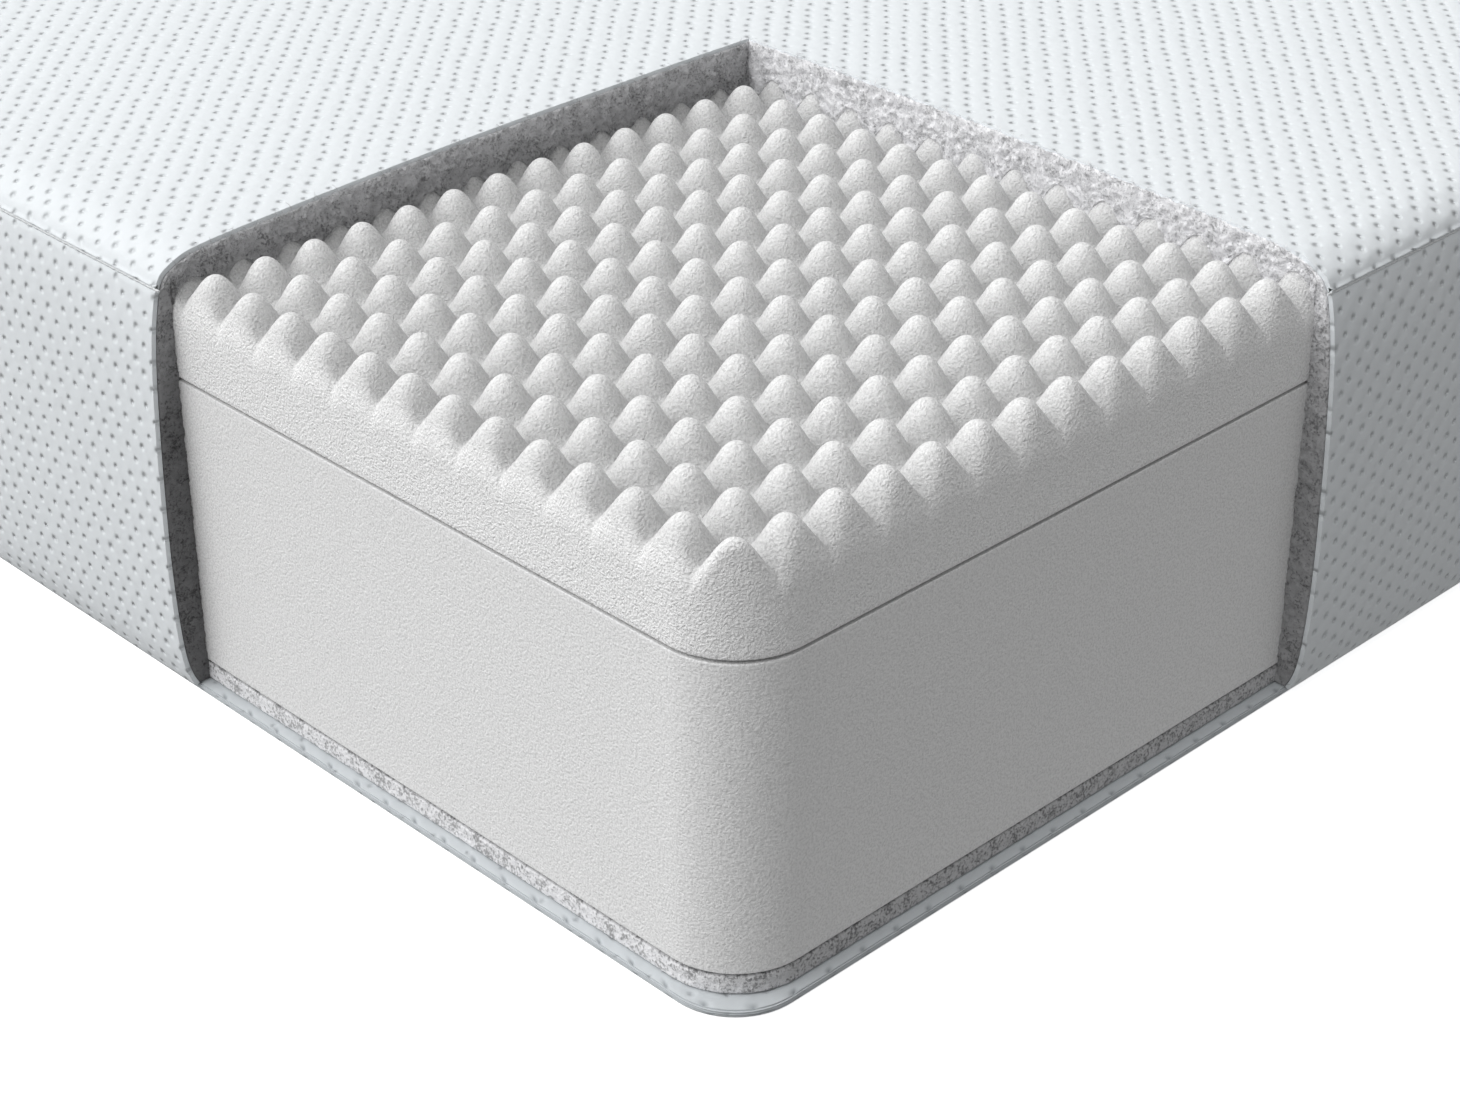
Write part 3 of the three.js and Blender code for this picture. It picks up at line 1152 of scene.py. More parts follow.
@dataclass
class BorderTicking:
    """Knitted cloth round the sides, from the base panel up to the seam."""

    turn: tuple[Row, ...] = ((0.0002, -0.0014), (-0.0005, -0.0006), (-0.0009, -SEAM_HALF_GAP))
    corner_steps: int = 16
    spacing: float = 0.012
    pattern_standoff: float = 0.012

    def profile(self) -> Array:
        """Outer face from the lower edge up, turned in at the seam."""
        rows = smooth_rows(SIDE_PROFILE, 4)[:-1]
        return np.vstack([rows, np.array(SIDE_PROFILE[-1]) + np.array(self.turn)])

    def plan_line(self, standoff: float) -> Array:
        """Plan points from one cut face round to the other.

        Args:
            standoff: distance outside the foam's side faces.

        Returns:
            The points, one a row.
        """
        radius = max(PLAN.corner_radius + standoff, PLAN.least_radius)
        wide, long = (2 * (half + standoff - radius) for half in (PLAN.half_width, PLAN.half_length))
        flat_x, flat_y = PLAN.half_width - PLAN.corner_radius, PLAN.half_length - PLAN.corner_radius
        spans = (flat_x - PLAN.cut_x, 2 * flat_y, 2 * flat_x, flat_y - PLAN.cut_y)
        counts = [round(span / self.spacing) + 1 for span in spans]
        start, end = 0.5 + PLAN.cut_x / wide, 0.5 - PLAN.cut_y / long
        limits = ((start, 1), (0, 1), (0, 1), (0, end))
        straight = [np.linspace(*limit, count) for limit, count in zip(limits, counts)]
        straight[0] = np.insert(straight[0], 1, start + CUT_MARGIN / wide)
        straight[3] = np.insert(straight[3], -1, end - CUT_MARGIN / long)
        return ring_of(standoff, radius, straight, self.corner_steps)[: 1 - self.corner_steps]

    def run_to(self, line: Array, side: Side) -> float:
        """Length along the strip to its point next to the middle of a side.

        Args:
            line: points of the strip.
            side: the side.

        Returns:
            The length. Of two points as near, it is that on the side's high half.
        """
        axis, end, _ = side.value
        out = line[:, axis] - end * (end * line[:, axis]).max()
        return float(arc_lengths(line)[np.argmin(np.hypot(out, line[:, 1 - axis] - NUDGE))])

    def pattern(self, down: Array) -> Array:
        """Cloth places of every cell's corners, with the knit turned to each side.

        Args:
            down: distance below the seam of each row of the strip.

        Returns:
            Places by cell and corner.
        """
        line = self.plan_line(self.pattern_standoff)
        run = arc_lengths(line)
        middle = (line[1:] + line[:-1]) / 2
        edges = np.array([PLAN.half_width, PLAN.half_length]) + self.pattern_standoff
        nearest = np.argmin(edges - np.abs(middle), axis=1)
        places = np.zeros((len(line) - 1, len(down) - 1, 4, 2))
        for side in Side:
            axis, end, way = side.value
            zero = -PLAN.cut_x if side is Side.LOW_Y else self.run_to(line, side)
            grid = np.empty((len(line), len(down), 2))
            grid[..., axis] = end * (edges[axis] + down)
            grid[..., 1 - axis] = way * (run - zero)[:, None]
            chosen = (nearest == axis) & (end * middle[:, axis] > 0)
            places[chosen] = per_cell(grid)[chosen]
        return places

    def build(self) -> bpy.types.Object:
        """Makes the strip.

        Returns:
            The piece.
        """
        outer_rows = self.profile()
        up = arc_lengths(outer_rows)
        faces = []
        for rows in (outer_rows, inset(outer_rows, TICKING_THICKNESS)):
            levels = [at_height(self.plan_line(standoff), height) for standoff, height in rows]
            faces.append(np.stack(levels, axis=1))
        cells = np.ones((len(faces[0]) - 1, len(up) - 1), bool)
        return Shell(*faces, self.pattern(up[-1] - up), cells).build("border_cloth")


@dataclass
class SeamThread:
    """Stitches that close the seam between the border and the top."""

    standoff: float = 0.0056
    pitch: float = 0.0042
    length: float = 0.0040
    rise: float = 0.0004
    thickness: float = 0.0012
    steps: int = 3
    sides: int = 5

    def build(self, border: BorderTicking, material: bpy.types.Material) -> bpy.types.Object:
        """Sews the stitches along the seam.

        Args:
            border: the strip that they close.
            material: the thread's material.

        Returns:
            The piece.
        """
        points = at_height(border.plan_line(self.standoff), SEAM_HEIGHT)
        mesh = bpy.data.meshes.new("seam_stitches")
        mesh.from_pydata(points.tolist(), [(i, i + 1) for i in range(len(points) - 1)], [])
        piece = bpy.data.objects.new("seam_stitches", mesh)
        bpy.context.scene.collection.objects.link(piece)
        rule = Rule("stitches_along_a_seam")
        nodes = rule.nodes
        pitch, length, rise, thickness = rule.sizes(
            {
                "Stitch Pitch": self.pitch,
                "Stitch Length": self.length,
                "Stitch Rise": self.rise,
                "Thread Thickness": self.thickness,
            }
        )
        path = nodes.result("GeometryNodeMeshToCurve", {0: rule.geometry})
        spots = nodes.make("GeometryNodeCurveToPoints", {"Curve": path, "Length": pitch}, mode="LENGTH")
        half = length * 0.5
        bend = (nodes.combine(z=half * -1.0), nodes.combine(x=rise), nodes.combine(z=half))
        stitch = rule.strand(bend, thickness, self.steps, self.sides)
        inputs = {"Points": spots["Points"], "Instance": stitch, "Rotation": spots["Rotation"]}
        rule.apply(piece, nodes.result("GeometryNodeInstanceOnPoints", inputs), material)
        return piece


@dataclass
class TopTicking:
    """Knitted cloth over the top, turned down over the edge to the seam."""

    turn: tuple[Row, ...] = ((-0.0008, SEAM_HALF_GAP), (-0.0001, 0.0006), (0.0003, 0.0016))
    corner: float = 0.0322
    spacing: float = 0.012
    far_spacing: float = 0.0156

    def crown(self, standoff: Array) -> Array:
        """Height of the outer face on the crown."""
        rows = smooth_rows(CROWN_PROFILE, 6)
        return np.interp(-standoff, -rows[:, 0], rows[:, 1])

    def edge_rows(self) -> Array:
        """Outer face from the seam, where it is turned in, to the lines of the corners' centres.

        Returns:
            Its rows of standoff and height.
        """
        rows = smooth_rows(CROWN_PROFILE, 4)
        rows = rows[rows[:, 0] > -self.corner]
        turn = np.array(CROWN_PROFILE[0]) + np.array(self.turn)
        return np.vstack([turn, rows[1:], (-self.corner, float(self.crown(np.array(-self.corner))))])

    def axis(self, low: float, cut: float, edge: int) -> tuple[Array, Array, Array]:
        """Grid lines on one axis, from edge to edge.

        Args:
            low: foam's side face at the cut corner.
            cut: plane of the cut.
            edge: rows of the profile before its flat part.

        Returns:
            Of each line the profile row, the side that it rolls to, and the place that it rolls from.
        """
        marks = (low + self.corner, cut, cut + CUT_MARGIN, -low - self.corner)
        middle = stations(marks, (self.spacing, CUT_MARGIN, self.far_spacing))
        number = np.arange(len(middle) + 2 * edge)
        sides = np.repeat([-1.0, 0.0, 1.0], [edge, len(middle), edge])
        return np.minimum(np.minimum(number, number[::-1]), edge), sides, np.pad(middle, edge, mode="edge")

    def build(self) -> bpy.types.Object:
        """Makes the panel.

        Returns:
            The piece.
        """
        outer_rows = self.edge_rows()
        inner_rows = inset(outer_rows, TICKING_THICKNESS)
        inner_rows[-1] = outer_rows[-1] - np.array([0, TICKING_THICKNESS])
        length = arc_lengths(outer_rows)
        total, edge = length[-1], len(outer_rows) - 1
        px, sx, x0 = self.axis(PLAN.low_x, PLAN.cut_x, edge)
        py, sy, y0 = self.axis(PLAN.low_y, PLAN.cut_y, edge)
        out_x, out_y = total - length[px], total - length[py]
        angle = fan_angle(out_x[:, None] / total, out_y[None, :] / total)
        deep = np.minimum(px[:, None], py[None, :])
        crown = self.crown(PLAN.standoff_at(x0[:, None], y0[None, :]))
        grids = []
        for rows, sink in ((outer_rows, 0.0), (inner_rows, TICKING_THICKNESS)):
            radius = self.corner + rows[deep, 0]
            x = x0[:, None] + sx[:, None] * radius * np.cos(angle)
            y = y0[None, :] + sy[None, :] * radius * np.sin(angle)
            grids.append(np.stack([x, y, np.where(deep == edge, crown - sink, rows[deep, 1])], axis=-1))
        cloth = np.stack(np.meshgrid(x0 + sx * out_x, y0 + sy * out_y, indexing="ij"), axis=-1)
        middle = (grids[0][:-1, :-1] + grids[0][1:, 1:]) / 2
        cells = ~((middle[..., 0] < PLAN.cut_x) & (middle[..., 1] < PLAN.cut_y))
        return Shell(*grids, per_cell(cloth), cells).build("top_cloth")


@dataclass
class BasePanel:
    """Knitted panel under the mattress, whose top-stitched and pinched rim stands out all round.

    Places over the rim are measured from the wadding outwards. Its stitched grooves and pinches carry painted
    shade.
    """

    rim: tuple[Row, ...] = (
        (0.0034, 0.0),
        (0.0042, 0.0009),
        (0.0047, 0.0021),
        (0.0048, 0.0032),
        (0.0041, 0.0041),
        (0.0028, 0.0045),
        (0.0012, 0.0047),
        (0.0, 0.0048),
    )
    tucks: Row = (0.004, 0.012)
    corner_radius: float = 0.029
    corner_steps: int = 20
    grooves: Point = (0.0045, 0.0055, 0.0065)
    groove_depth: float = 0.00045
    groove_width: float = 0.0004
    groove_shade: float = 0.50
    pinch_pitch: float = 0.0178
    pinch_width: float = 0.0021
    pinch_places: Row = (0.0034, 0.0076)
    pinch_reach: float = 0.0011
    pinch_depth: float = 0.0010
    pinch_slant: float = 0.4
    pinch_draw: float = 0.3
    pinch_shade: float = 0.9
    pinch_floor: float = 0.002
    fall: float = 3.0
    fine: float = 0.0012
    coarse: float = 0.02

    def rows(self) -> Array:
        """Outer face of the rim with its grooves.

        Returns:
            Its rows of standoff and height, from the floor up.
        """
        rows = smooth_rows(self.rim, 8)
        run = arc_lengths(rows)
        return inset(rows, self.groove_depth * self.groove(run[-1] - run))

    def groove(self, roll: Array) -> Array:
        """Share of a stitched line's depth at places over the rim."""
        away = (np.asarray(roll)[..., None] - np.array(self.grooves)) / self.groove_width
        return np.exp(-self.fall * away**2).max(axis=-1)

    def pinch(self, run: Array, total: float, roll: float) -> Array:
        """Share of the depth of the knit's pinches.

        Args:
            run: length along the rim.
            total: length all round.
            roll: place over the rim.

        Returns:
            The share at each place.
        """
        pitch = total / round(total / self.pinch_pitch)
        away = run - self.pinch_slant * roll
        away -= pitch * np.round(away / pitch)
        over = max(math.exp(-(((roll - place) / self.pinch_reach) ** 2)) for place in self.pinch_places)
        return over * np.exp(-((away / self.pinch_width) ** 2) * self.fall)

    def build(self) -> bpy.types.Object:
        """Makes the panel.

        Returns:
            The piece.
        """
        radius, steps = self.corner_radius, self.corner_steps
        straight = shares_round(radius, (PLAN.cut_width, PLAN.cut_length), self.fine, self.coarse)
        outward = outward_round(radius, straight, steps)
        start = ring_of(0.0, radius, straight, steps)
        run = arc_lengths(np.vstack([start, start[:1]]))
        rows = self.rows()
        short, deep = self.tucks
        outline = np.vstack([(-deep, 0.0), rows, (-short, rows[-1, 1]), (-deep, rows[-1, 1])])
        across = arc_lengths(outline)
        rings, reach, painted_crease_shades = [], [], []
        for (standoff, height), roll in zip(outline, across[-1] - deep - across):
            pinch = self.pinch(run[:-1], run[-1], roll)
            depth = self.pinch_depth * pinch * float(height > self.pinch_floor)
            # Painted shade in the stitched grooves and the pinches, read by the knit as its crease mark
            painted_crease_shades.append(np.maximum(self.groove_shade * self.groove(roll), self.pinch_shade * pinch))
            plan = ring_of(standoff, radius, straight, steps) - self.pinch_draw * depth[:, None] * outward
            rings.append(at_height(plan, height - depth))
            reach.append(ring_of(roll, radius, straight, steps))
        vertices, faces = stacked_body(rings)
        piece = new_piece("base_cloth", vertices, faces)
        write_attribute(piece.data, "crease", np.concatenate(painted_crease_shades))
        corners = corner_vertices(piece.data)
        cloth = np.vstack(reach)[corners]
        under = slice(faces[0].size, faces[0].size + len(start))
        cloth[under] = vertices[corners[under], :2]
        write_uv(piece.data, cloth)
        return piece


@dataclass
class Fluff:
    """Loose, lifted face of fibre wadding: tufts and stray fibres that geometry nodes make.

    A fibre bends towards one point and ends at another, both in shares of its length.
    """

    tuft_size: float = 0.0034
    tuft_depth: float = 0.0018
    tuft_noise: Row = (0.28, 0.72)
    tuft_sink: float = -0.35
    density: float = 450000.0
    fibre_length: float = 0.0034
    fibre_thickness: float = 0.00016
    fibre_root: Point = (0.0, 0.0, -0.0003)
    fibre_bend: Point = (0.35, 0.0, 0.5)
    fibre_end: Point = (1.0, 0.2, 0.1)
    lean: float = 0.6
    stretch: Row = (0.4, 1.2)
    seed: int = 7

    def apply(self, piece: bpy.types.Object, material: bpy.types.Material) -> None:
        """Lifts the tufts and sows the fibres where the piece says so.

        Args:
            piece: wadding with a vector named fluff, which points out of its loose face.
            material: the wadding's material.
        """
        rule = Rule("fluff_of_" + piece.name)
        nodes, fluff = rule.nodes, rule.attribute("fluff", "FLOAT_VECTOR")
        size, depth, density, seed, length, thickness = rule.sizes(
            {
                "Tuft Size": self.tuft_size,
                "Tuft Depth": self.tuft_depth,
                "Fibre Density": self.density,
                "Seed": self.seed,
                "Fibre Length": self.fibre_length,
                "Fibre Thickness": self.fibre_thickness,
            }
        )
        position = nodes.result("GeometryNodeInputPosition")
        tufts = nodes.noise(position, size, detail=3.0, roughness=0.62)
        lift = nodes.vector("SCALE", fluff, nodes.ramp(tufts, *self.tuft_noise, self.tuft_sink, 1.0) * depth)
        moved = nodes.result("GeometryNodeSetPosition", {"Geometry": rule.geometry, "Offset": lift})
        loose = nodes.math("GREATER_THAN", nodes.vector("LENGTH", fluff), 0.5)
        inputs = {"Mesh": moved, "Selection": loose, "Density": density, "Seed": seed}
        spots = nodes.make("GeometryNodeDistributePointsOnFaces", inputs)
        bend, end = (nodes.vector("SCALE", point, length) for point in (self.fibre_bend, self.fibre_end))
        fibre = rule.strand((self.fibre_root, bend, end), thickness, steps=4, sides=3)
        turn = (self.lean, self.lean, math.pi)
        turns = {0: tuple(-angle for angle in turn), 1: turn, "Seed": seed}
        spin = nodes.result("FunctionNodeRandomValue", turns, data_type="FLOAT_VECTOR")
        turned = {0: spots["Rotation"], 1: spin}
        grow = {0: self.stretch[0], 1: self.stretch[1], "Seed": seed + 1.0}
        inputs = {
            "Points": spots["Points"],
            "Instance": fibre,
            "Rotation": nodes.result("FunctionNodeRotateRotation", turned, rotation_space="LOCAL"),
            "Scale": nodes.result("FunctionNodeRandomValue", grow, data_type="FLOAT"),
        }
        fibres = nodes.result("GeometryNodeInstanceOnPoints", inputs)
        rule.apply(piece, nodes.result("GeometryNodeJoinGeometry", {0: [moved, fibres]}), material)


def merged_node(name: str) -> tuple[Array, Array]:
    """Vertices and triangles of a CAD node, with its loose corners merged.

    Args:
        name: name of the node.

    Returns:
        Places, and three vertex numbers a triangle.
    """
    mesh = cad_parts[name].data
    places = np.empty(len(mesh.vertices) * 3)
    mesh.vertices.foreach_get("co", places)
    places = places.reshape(-1, 3)
    _, first, index = np.unique(np.round(places, decimals=5), axis=0, return_index=True, return_inverse=True)
    faces = index.reshape(-1)[corner_vertices(mesh)].reshape(-1, 3)
    return places[first], faces[(faces != np.roll(faces, -1, axis=1)).all(axis=1)]


def loose_block(front: Array, outward: Array, thickness: float, rise: Array) -> Triple:
    """A closed slab behind a grid of places, whose front is the loose face of wadding.

    Args:
        front: grid of places, turned so that its faces point along outward.
        outward: unit vector out of the front.
        thickness: depth of the slab.
        rise: how far each place of the front is lifted above the slab.

    Returns:
        Vertices, faces, and the fluff vector of each vertex, short round the edge of the front.
    """
    number = np.arange(front[..., 0].size).reshape(front.shape[:2])
    lift = number.size
    loop = rim_of(number)
    after = np.roll(loop, -1)
    quads = per_cell(number).reshape(-1, 4)
    rim = np.stack([after, loop, loop + lift, after + lift], axis=-1)
    weight = np.ones(lift)
    weight[loop] = RIM_FLUFF
    weight[rise.ravel() > 0] = 1.0
    raised = front + rise[..., None] * np.array([0, 0, 1.0])
    back = front - thickness * outward
    vertices = np.vstack([raised.reshape(-1, 3), back.reshape(-1, 3)])
    fluff = np.vstack([weight[:, None] * outward, np.zeros((lift, 3))])
    return vertices, np.vstack([quads, quads[:, ::-1] + lift, rim]), fluff


@dataclass
class Fleece(ABC):
    """Fibre wadding of one part of the cover, loose where it is cut."""

    node: str
    name: str
    fluff: Fluff
    cell: float = 0.0009

    @abstractmethod
    def parts(self) -> tuple[Array, list[Array], Array, Array]:
        """Vertices, groups of faces, and the fluff vector and the painted light of each vertex."""

    def build(self, material: bpy.types.Material) -> bpy.types.Object:
        """Makes the wadding.

        Args:
            material: its material.

        Returns:
            The piece.
        """
        vertices, faces, fluff, pale = self.parts()
        piece = new_piece(self.name, vertices, faces)
        write_attribute(piece.data, "fluff", fluff)
        # Painted light of each vertex, which the wadding's material reads
        write_attribute(piece.data, "pale", pale)
        self.fluff.apply(piece, material)
        return piece


@dataclass
class CutFleece(Fleece):
    """Wadding with the solid's own shape and with loose slabs in the two cut planes.

    The painted light of the face to low X, which is lit, and of that to low Y, which is in shade, goes by
    rows of height and share.
    """

    setback: float = 0.0025
    front: float = 0.0004
    long_cut_rise: float = 0.45
    # Painted light on the lit and on the shaded loose face, by height; the shaded one is darker towards the
    # seam
    lit_face_painted_light: tuple[Row, ...] = ((SEAM_HEIGHT, 1.0),)
    shaded_face_painted_light: tuple[Row, ...] = ((SEAM_HEIGHT, 0.15), (0.200, 0.49))

    @abstractmethod
    def cut_face(self, across: bool) -> Triple:
        """Distance inside the side face, height and rise of each place of a loose face."""

    def body(self) -> tuple[Array, Array]:
        """The solid's own shape, drawn back a little from the cut faces.

        Returns:
            Vertices and triangles.
        """
        vertices, faces = merged_node(self.node)
        x, y = vertices.T[:2].copy()
        vertices[(np.abs(x - PLAN.cut_x) < NUDGE) & (y < PLAN.cut_y + NUDGE), 0] += self.setback
        vertices[(np.abs(y - PLAN.cut_y) < NUDGE) & (x < PLAN.cut_x + NUDGE), 1] += self.setback
        return vertices, faces

    def pale(self, height: Array, across: bool) -> Array:
        """How much painted light one of the two loose faces carries at each height."""
        return np.interp(height, *zip(*(self.lit_face_painted_light if across else self.shaded_face_painted_light)))

    def slab(self, across: bool) -> Triple:
        """The slab behind a loose face.

        Args:
            across: whether the face lies in the plane of the cut across the width.

        Returns:
            Its vertices, faces and fluff vectors.
        """
        inside, height, rise = self.cut_face(across)
        if across:
            grid = np.stack([np.full(inside.shape, PLAN.cut_x), PLAN.low_y + inside, height], axis=-1)
            grid, outward, rise = grid.transpose(1, 0, 2), np.array([-1.0, 0, 0]), rise.T
        else:
            grid = np.stack([PLAN.low_x + inside, np.full(inside.shape, PLAN.cut_y), height], axis=-1)
            outward, rise = np.array([0, -1.0, 0]), self.long_cut_rise * rise
        return loose_block(grid + self.front * outward, outward, self.setback, rise)

    def parts(self) -> tuple[Array, list[Array], Array, Array]:
        """Joins the body and the two slabs.

        Returns:
            Vertices, groups of faces, and the fluff vector and the painted light of each vertex.
        """
        vertices, triangles = self.body()
        places, quads = [vertices], []
        fluffs, marks = [np.zeros((len(vertices), 3))], [np.zeros(len(vertices))]
        for across in (True, False):
            corners, faces, fluff = self.slab(across)
            quads.append(faces + sum(map(len, places)))
            places.append(corners)
            fluffs.append(fluff)
            marks.append(self.pale(corners[:, 2], across))
        return np.vstack(places), [triangles, np.vstack(quads)], np.vstack(fluffs), np.concatenate(marks)


@dataclass
class BorderFleece(CutFleece):
    """Wadding between the border cloth and the foam, with painted light that grows towards its top."""

    # Painted light on the lit and on the shaded loose face, by height, growing towards the top
    lit_face_painted_light: tuple[Row, ...] = ((0.090, 0.25), (0.125, 0.36), (0.160, 0.62), (0.180, 1.0))
    shaded_face_painted_light: tuple[Row, ...] = ((0.125, 0.0), (SEAM_HEIGHT, 0.34))
    floor: float = 0.0050
    press: float = 0.0008
    steps: int = 13

    def cut_face(self, across: bool) -> Triple:
        """One of the two narrow upright faces, which are alike.

        Args:
            across: whether it lies in the plane of the cut across the width; not used, as the two faces are
                alike.

        Returns:
            Distance inside the side face, height and rise of each place.
        """
        inner = inset(smooth_rows(SIDE_PROFILE, 6), TICKING_THICKNESS + CLEARANCE)
        heights = stations((self.floor, SEAM_HEIGHT + CLEARANCE), (self.cell,))
        outer = np.interp(heights, inner[:, 1], inner[:, 0])
        share = np.linspace(0, 1, self.steps + 1)[:, None]
        inside = -outer[None, :] * (1 - share) + self.press * share
        return inside, np.broadcast_to(heights, inside.shape), np.zeros(inside.shape)


@dataclass
class TopFleece(CutFleece):
    """Wadding over the foam, pressed between the peaks along the cut."""

    foam: ComfortFoam = field(default_factory=ComfortFoam)
    lift: float = 0.001
    press: float = 0.0004
    edge: float = 0.0002
    least: float = 0.0004
    rise: float = 0.0018
    rise_share: float = 0.16
    rise_reach: float = 0.02
    steps: int = 25

    def body(self) -> tuple[Array, Array]:
        """The solid's own shape, with its underside on the foam's peaks.

        Returns:
            Vertices and triangles.
        """
        vertices, faces = super().body()
        u, v = vertices[:, 0] - PLAN.low_x, vertices[:, 1] - PLAN.low_y
        edge = self.foam.roll_width[1]
        pressed = (vertices[:, 2] < self.foam.peak_top) & (u > edge) & (v > edge)
        surface = self.foam.peak_top - self.foam.drop(u, v) + self.lift
        vertices[pressed, 2] = np.maximum(vertices[pressed, 2], surface[pressed])
        return vertices, faces

    def underside(self, u: Array, v: Array) -> Array:
        """Lower edge of the loose face.

        Args:
            u: distance inside the low-X side face.
            v: distance inside the low-Y side face.

        Returns:
            Its height at each place.
        """
        inside = np.minimum(u, v)
        roll = self.foam.roll(u, v, np.clip(inside, 0, None))
        surface = self.foam.peak_top - self.foam.drop(u, v) - roll - self.press
        return np.where(inside < 2 * CLEARANCE, SEAM_HEIGHT + SEAM_HALF_GAP, surface)

    def cut_face(self, across: bool) -> Triple:
        """One of the two long faces along the cut.

        Args:
            across: whether it lies in the plane of the cut across the width.

        Returns:
            Distance inside the side face, height and rise of each place.
        """
        length, other = PLAN.cut_width, PLAN.cut_length
        if across:
            length, other = other, length
        inner = inset(smooth_rows(CROWN_PROFILE, 6), TICKING_THICKNESS + CLEARANCE)
        marks = (self.edge - float(inner[0, 0]), CLEARANCE, 3 * CLEARANCE, length + self.setback / 2)
        inside = stations(marks, (self.cell,) * 3)
        ceiling = np.interp(inside, -inner[:, 0], inner[:, 1])
        plane = np.full(inside.shape, other)
        low = self.underside(plane, inside) if across else self.underside(inside, plane)
        low = np.minimum(low, ceiling - self.least)
        share = np.linspace(0, 1, self.steps + 1)[None, :]
        height = low[:, None] * (1 - share) + ceiling[:, None] * share
        near_top = np.clip((share - (1 - self.rise_share)) / self.rise_share, 0, 1)
        rise = self.rise * near_top * np.clip(inside[:, None] / self.rise_reach, 0, 1)
        return np.broadcast_to(inside[:, None], height.shape), height, rise


@dataclass
class BaseFleece(Fleece):
    """Wadding under the foam, whose edge shows all round the cut corner, with painted light towards low X,
    the lit side, and painted shade on its rounded edges.
    """

    top: float = 0.0133
    bottom: float = 0.0051
    edge: float = 0.0007
    recess: float = 0.0003
    beyond: float = 0.01
    levels: int = 8
    corner_steps: int = 60
    coarse: float = 0.05
    # Painted light: least on the shaded side, growing by this power towards low X
    least_painted_light: float = 0.12
    painted_light_power: float = 1.6
    hidden_fluff: float = 0.1

    def parts(self) -> tuple[Array, list[Array], Array, Array]:
        """Stacks the sheet's outline, with its edges rounded.

        Returns:
            Vertices, groups of faces, and the fluff vector and the painted light of each vertex.
        """
        radius, steps = PLAN.corner_radius, self.corner_steps
        reach = (PLAN.cut_width - radius + self.beyond, PLAN.cut_length - radius + self.beyond)
        straight = shares_round(radius, reach, self.cell, self.coarse)
        outward = outward_round(radius, straight, steps)
        facing_light = np.clip(-outward[:, 0], 0, 1) ** self.painted_light_power
        pale = self.least_painted_light + (1 - self.least_painted_light) * facing_light
        low = rounded_edge(self.bottom, self.edge, 2, rising=True)
        high = rounded_edge(self.top, self.edge, 2, rising=False)[::-1]
        heights = np.linspace(self.bottom + self.edge, self.top - self.edge, self.levels + 1)[1:-1]
        rings, fluffs, shades = [], [], []
        for standoff, height in low + [(0.0, z) for z in heights] + high:
            plan = ring_of(standoff - self.recess, radius, straight, steps)
            rings.append(at_height(plan, height))
            shown = (plan < np.array([PLAN.cut_x, PLAN.cut_y]) + self.beyond).all(axis=1)
            on_side = standoff > -TINY
            upright = on_side and height < self.top - 2 * self.edge
            weight = shown * (1.0 if upright else self.hidden_fluff)
            # Painted shade on the rounded top and bottom edges: they get no painted light
            shades.append(pale * on_side)
            fluffs.append(at_height(outward * weight[:, None], 0.0))
        return *stacked_body(rings), np.vstack(fluffs), np.concatenate(shades)


@dataclass(frozen=True)
class Lamp:
    """A far, soft lamp: its strength, the angle that it fills in degrees, and where it shines from."""

    name: str
    energy: float
    width: float
    source: Point

    def build(self) -> None:
        """Hangs the lamp."""
        sun = bpy.data.lights.new(self.name, "SUN")
        sun.energy = self.energy
        sun.angle = math.radians(self.width)
        lamp = bpy.data.objects.new(self.name, sun)
        lamp.rotation_euler = Vector(self.source).to_track_quat("Z", "Y").to_euler()
        bpy.context.scene.collection.objects.link(lamp)


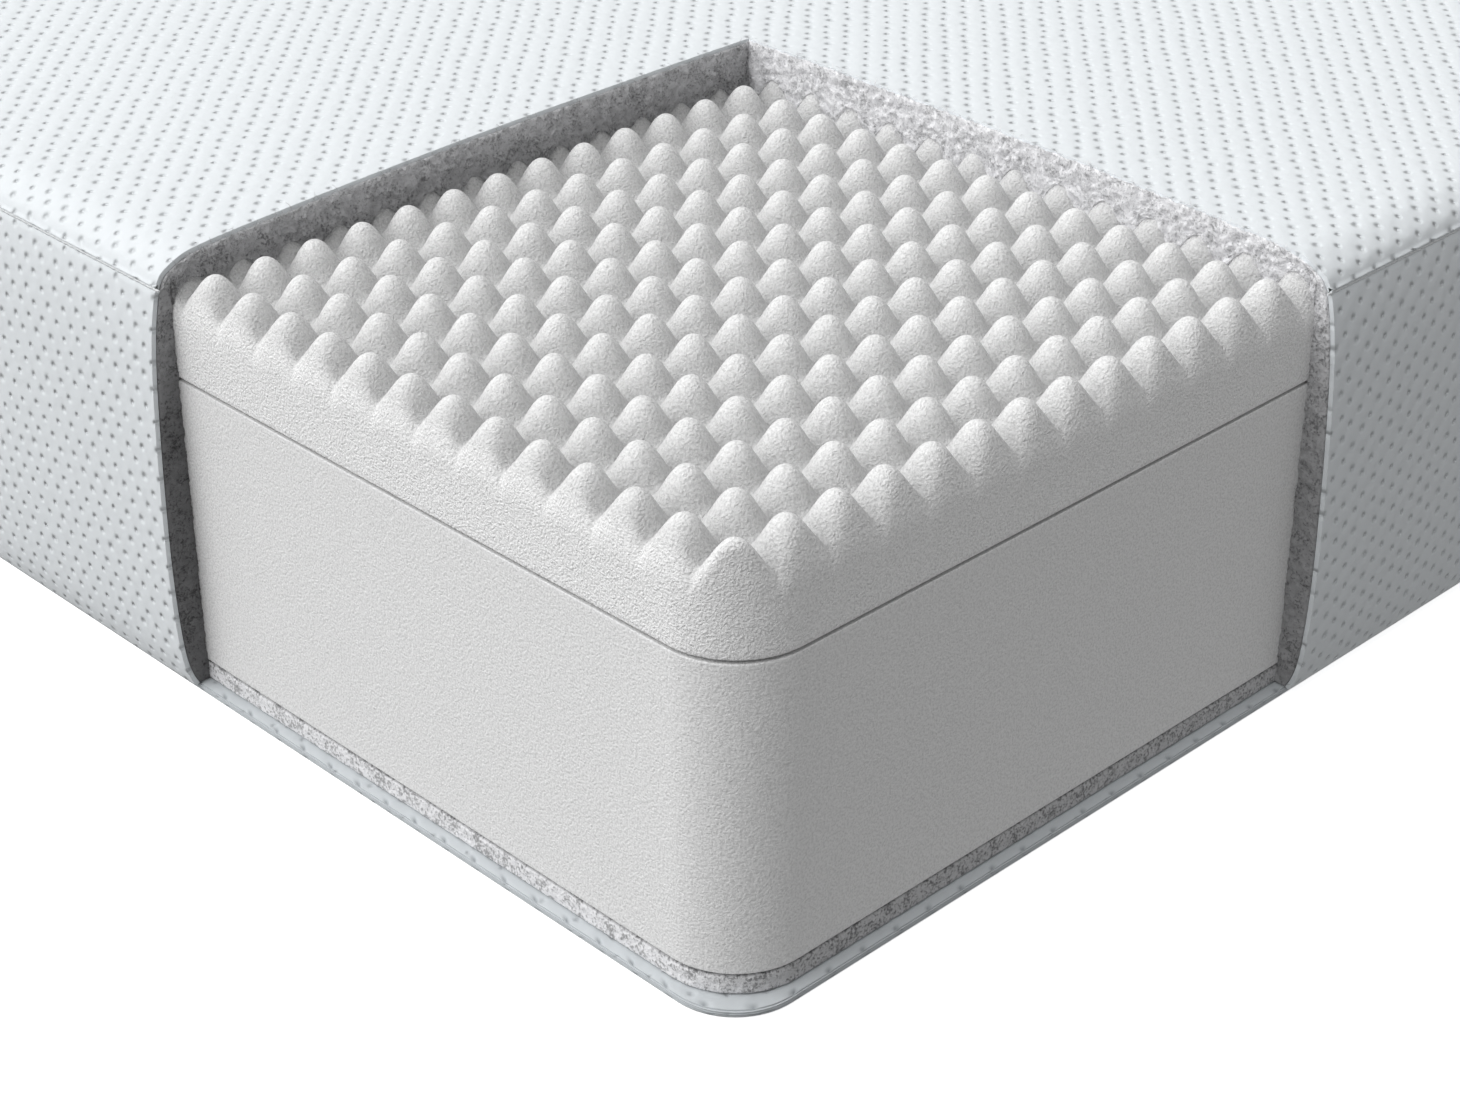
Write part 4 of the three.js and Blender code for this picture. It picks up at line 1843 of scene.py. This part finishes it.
@dataclass(frozen=True)
class Studio:
    """Pale floor, soft light from the left, and the camera of the photograph's view."""

    place: Point = (-1.01476, -1.52662, 0.67385)
    right: Point = (0.71464, -0.69949, 0.0)
    forward: Point = (0.6055, 0.6200, -0.4990)
    lens: float = 73.04
    surround: float = 0.24
    floor_reach: float = 20.0
    floor_shade: float = 0.97
    floor_glow: float = 0.75
    lamps: tuple[Lamp, ...] = (
        Lamp("sky", 0.46, 170.0, (0.0, 0.0, 1.0)),
        Lamp("window", 1.26, 50.0, (-0.757, 0.313, 0.574)),
        Lamp("far_window", 0.91, 50.0, (-0.313, 0.757, 0.574)),
        Lamp("roof_light", 0.72, 50.0, (-0.5, 0.0, 0.866)),
        Lamp("fill", 0.45, 60.0, (0.4, 0.25, 0.866)),
    )

    def camera(self) -> None:
        """Sets up the camera."""
        data = bpy.data.cameras.new("view")
        data.sensor_width = 36.0
        data.lens = self.lens
        data.clip_end = 50.0
        camera = bpy.data.objects.new("view", data)
        right, forward = Vector(self.right), Vector(self.forward).normalized()
        right = (right - right.dot(forward) * forward).normalized()
        turn = Matrix((right, right.cross(forward), -forward)).transposed()
        camera.matrix_world = Matrix.Translation(self.place) @ turn.to_4x4()
        bpy.context.scene.collection.objects.link(camera)
        bpy.context.scene.camera = camera

    def floor(self) -> None:
        """Lays the floor, which throws no light back on the mattress."""
        corners = np.array([(-1, -1, 0), (1, -1, 0), (1, 1, 0), (-1, 1, 0)]) * self.floor_reach
        floor = new_piece("floor", corners, [np.array([[0, 1, 2, 3]])], flat=(0,))
        surface = Surface("floor", roughness=1.0, sheen=0.0)
        surface.put({"Base Color": grey(self.floor_shade), "Specular IOR Level": 0.0})
        surface.put({"Emission Color": grey(1.0), "Emission Strength": self.floor_glow})
        floor.data.materials.append(surface.material)
        floor.visible_diffuse = False

    def build(self) -> None:
        """Makes everything round the mattress."""
        self.camera()
        self.floor()
        world = bpy.data.worlds.new("studio")
        world.use_nodes = True
        surround = world.node_tree.nodes["Background"]
        surround.inputs["Color"].default_value = grey(1.0)
        surround.inputs["Strength"].default_value = self.surround
        bpy.context.scene.world = world
        for lamp in self.lamps:
            lamp.build()
        bpy.context.scene.view_settings.view_transform = "Standard"


BASE_FLUFF = Fluff(tuft_depth=0.0004, fibre_length=0.0010, density=200000.0)
BORDER_FLUFF = Fluff(tuft_depth=0.0010, fibre_length=0.0020, density=300000.0)


@dataclass
class Mattress:
    """All pieces of the mattress, made and dressed in a workshop."""

    workshop: Workshop

    def build_foam(self) -> None:
        """Makes the two layers of foam and the three sheets of wadding."""
        materials = self.workshop.materials
        core = CoreFoam().build()
        self.workshop.dress(core, Finish.CORE, "base_foam")
        foam = ComfortFoam()
        comfort = foam.build(materials[Finish.COMFORT])
        self.workshop.dress(comfort, Finish.COMFORT, "comfort_foam")
        for fleece, finish in (
            (BaseFleece("base_wadding", "base_fleece", BASE_FLUFF), Finish.BASE_WADDING),
            (BorderFleece("border_wadding", "border_fleece", BORDER_FLUFF), Finish.SIDE_WADDING),
            (TopFleece("top_wadding", "top_fleece", Fluff(), foam=foam), Finish.TOP_WADDING),
        ):
            piece = fleece.build(materials[finish])
            self.workshop.dress(piece, finish, fleece.node)

    def build_cover(self) -> None:
        """Makes the three panels of cloth and the stitches between two of them."""
        base = BasePanel().build()
        self.workshop.dress(base, Finish.BASE_KNIT, "base_ticking")
        strip = BorderTicking()
        border = strip.build()
        self.workshop.dress(border, Finish.KNIT, "border_ticking")
        thread = SeamThread().build(strip, self.workshop.materials[Finish.THREAD])
        self.workshop.dress(thread, Finish.THREAD)
        top = TopTicking().build()
        self.workshop.dress(top, Finish.KNIT, "top_ticking")


def main() -> None:
    """Builds the mattress and its studio."""
    logging.basicConfig(level=logging.INFO, format="%(relativeCreated)d ms %(name)s: %(message)s")
    Studio().build()
    mattress = Mattress(Workshop())
    mattress.build_foam()
    mattress.build_cover()


if __name__ == "__main__":
    main()
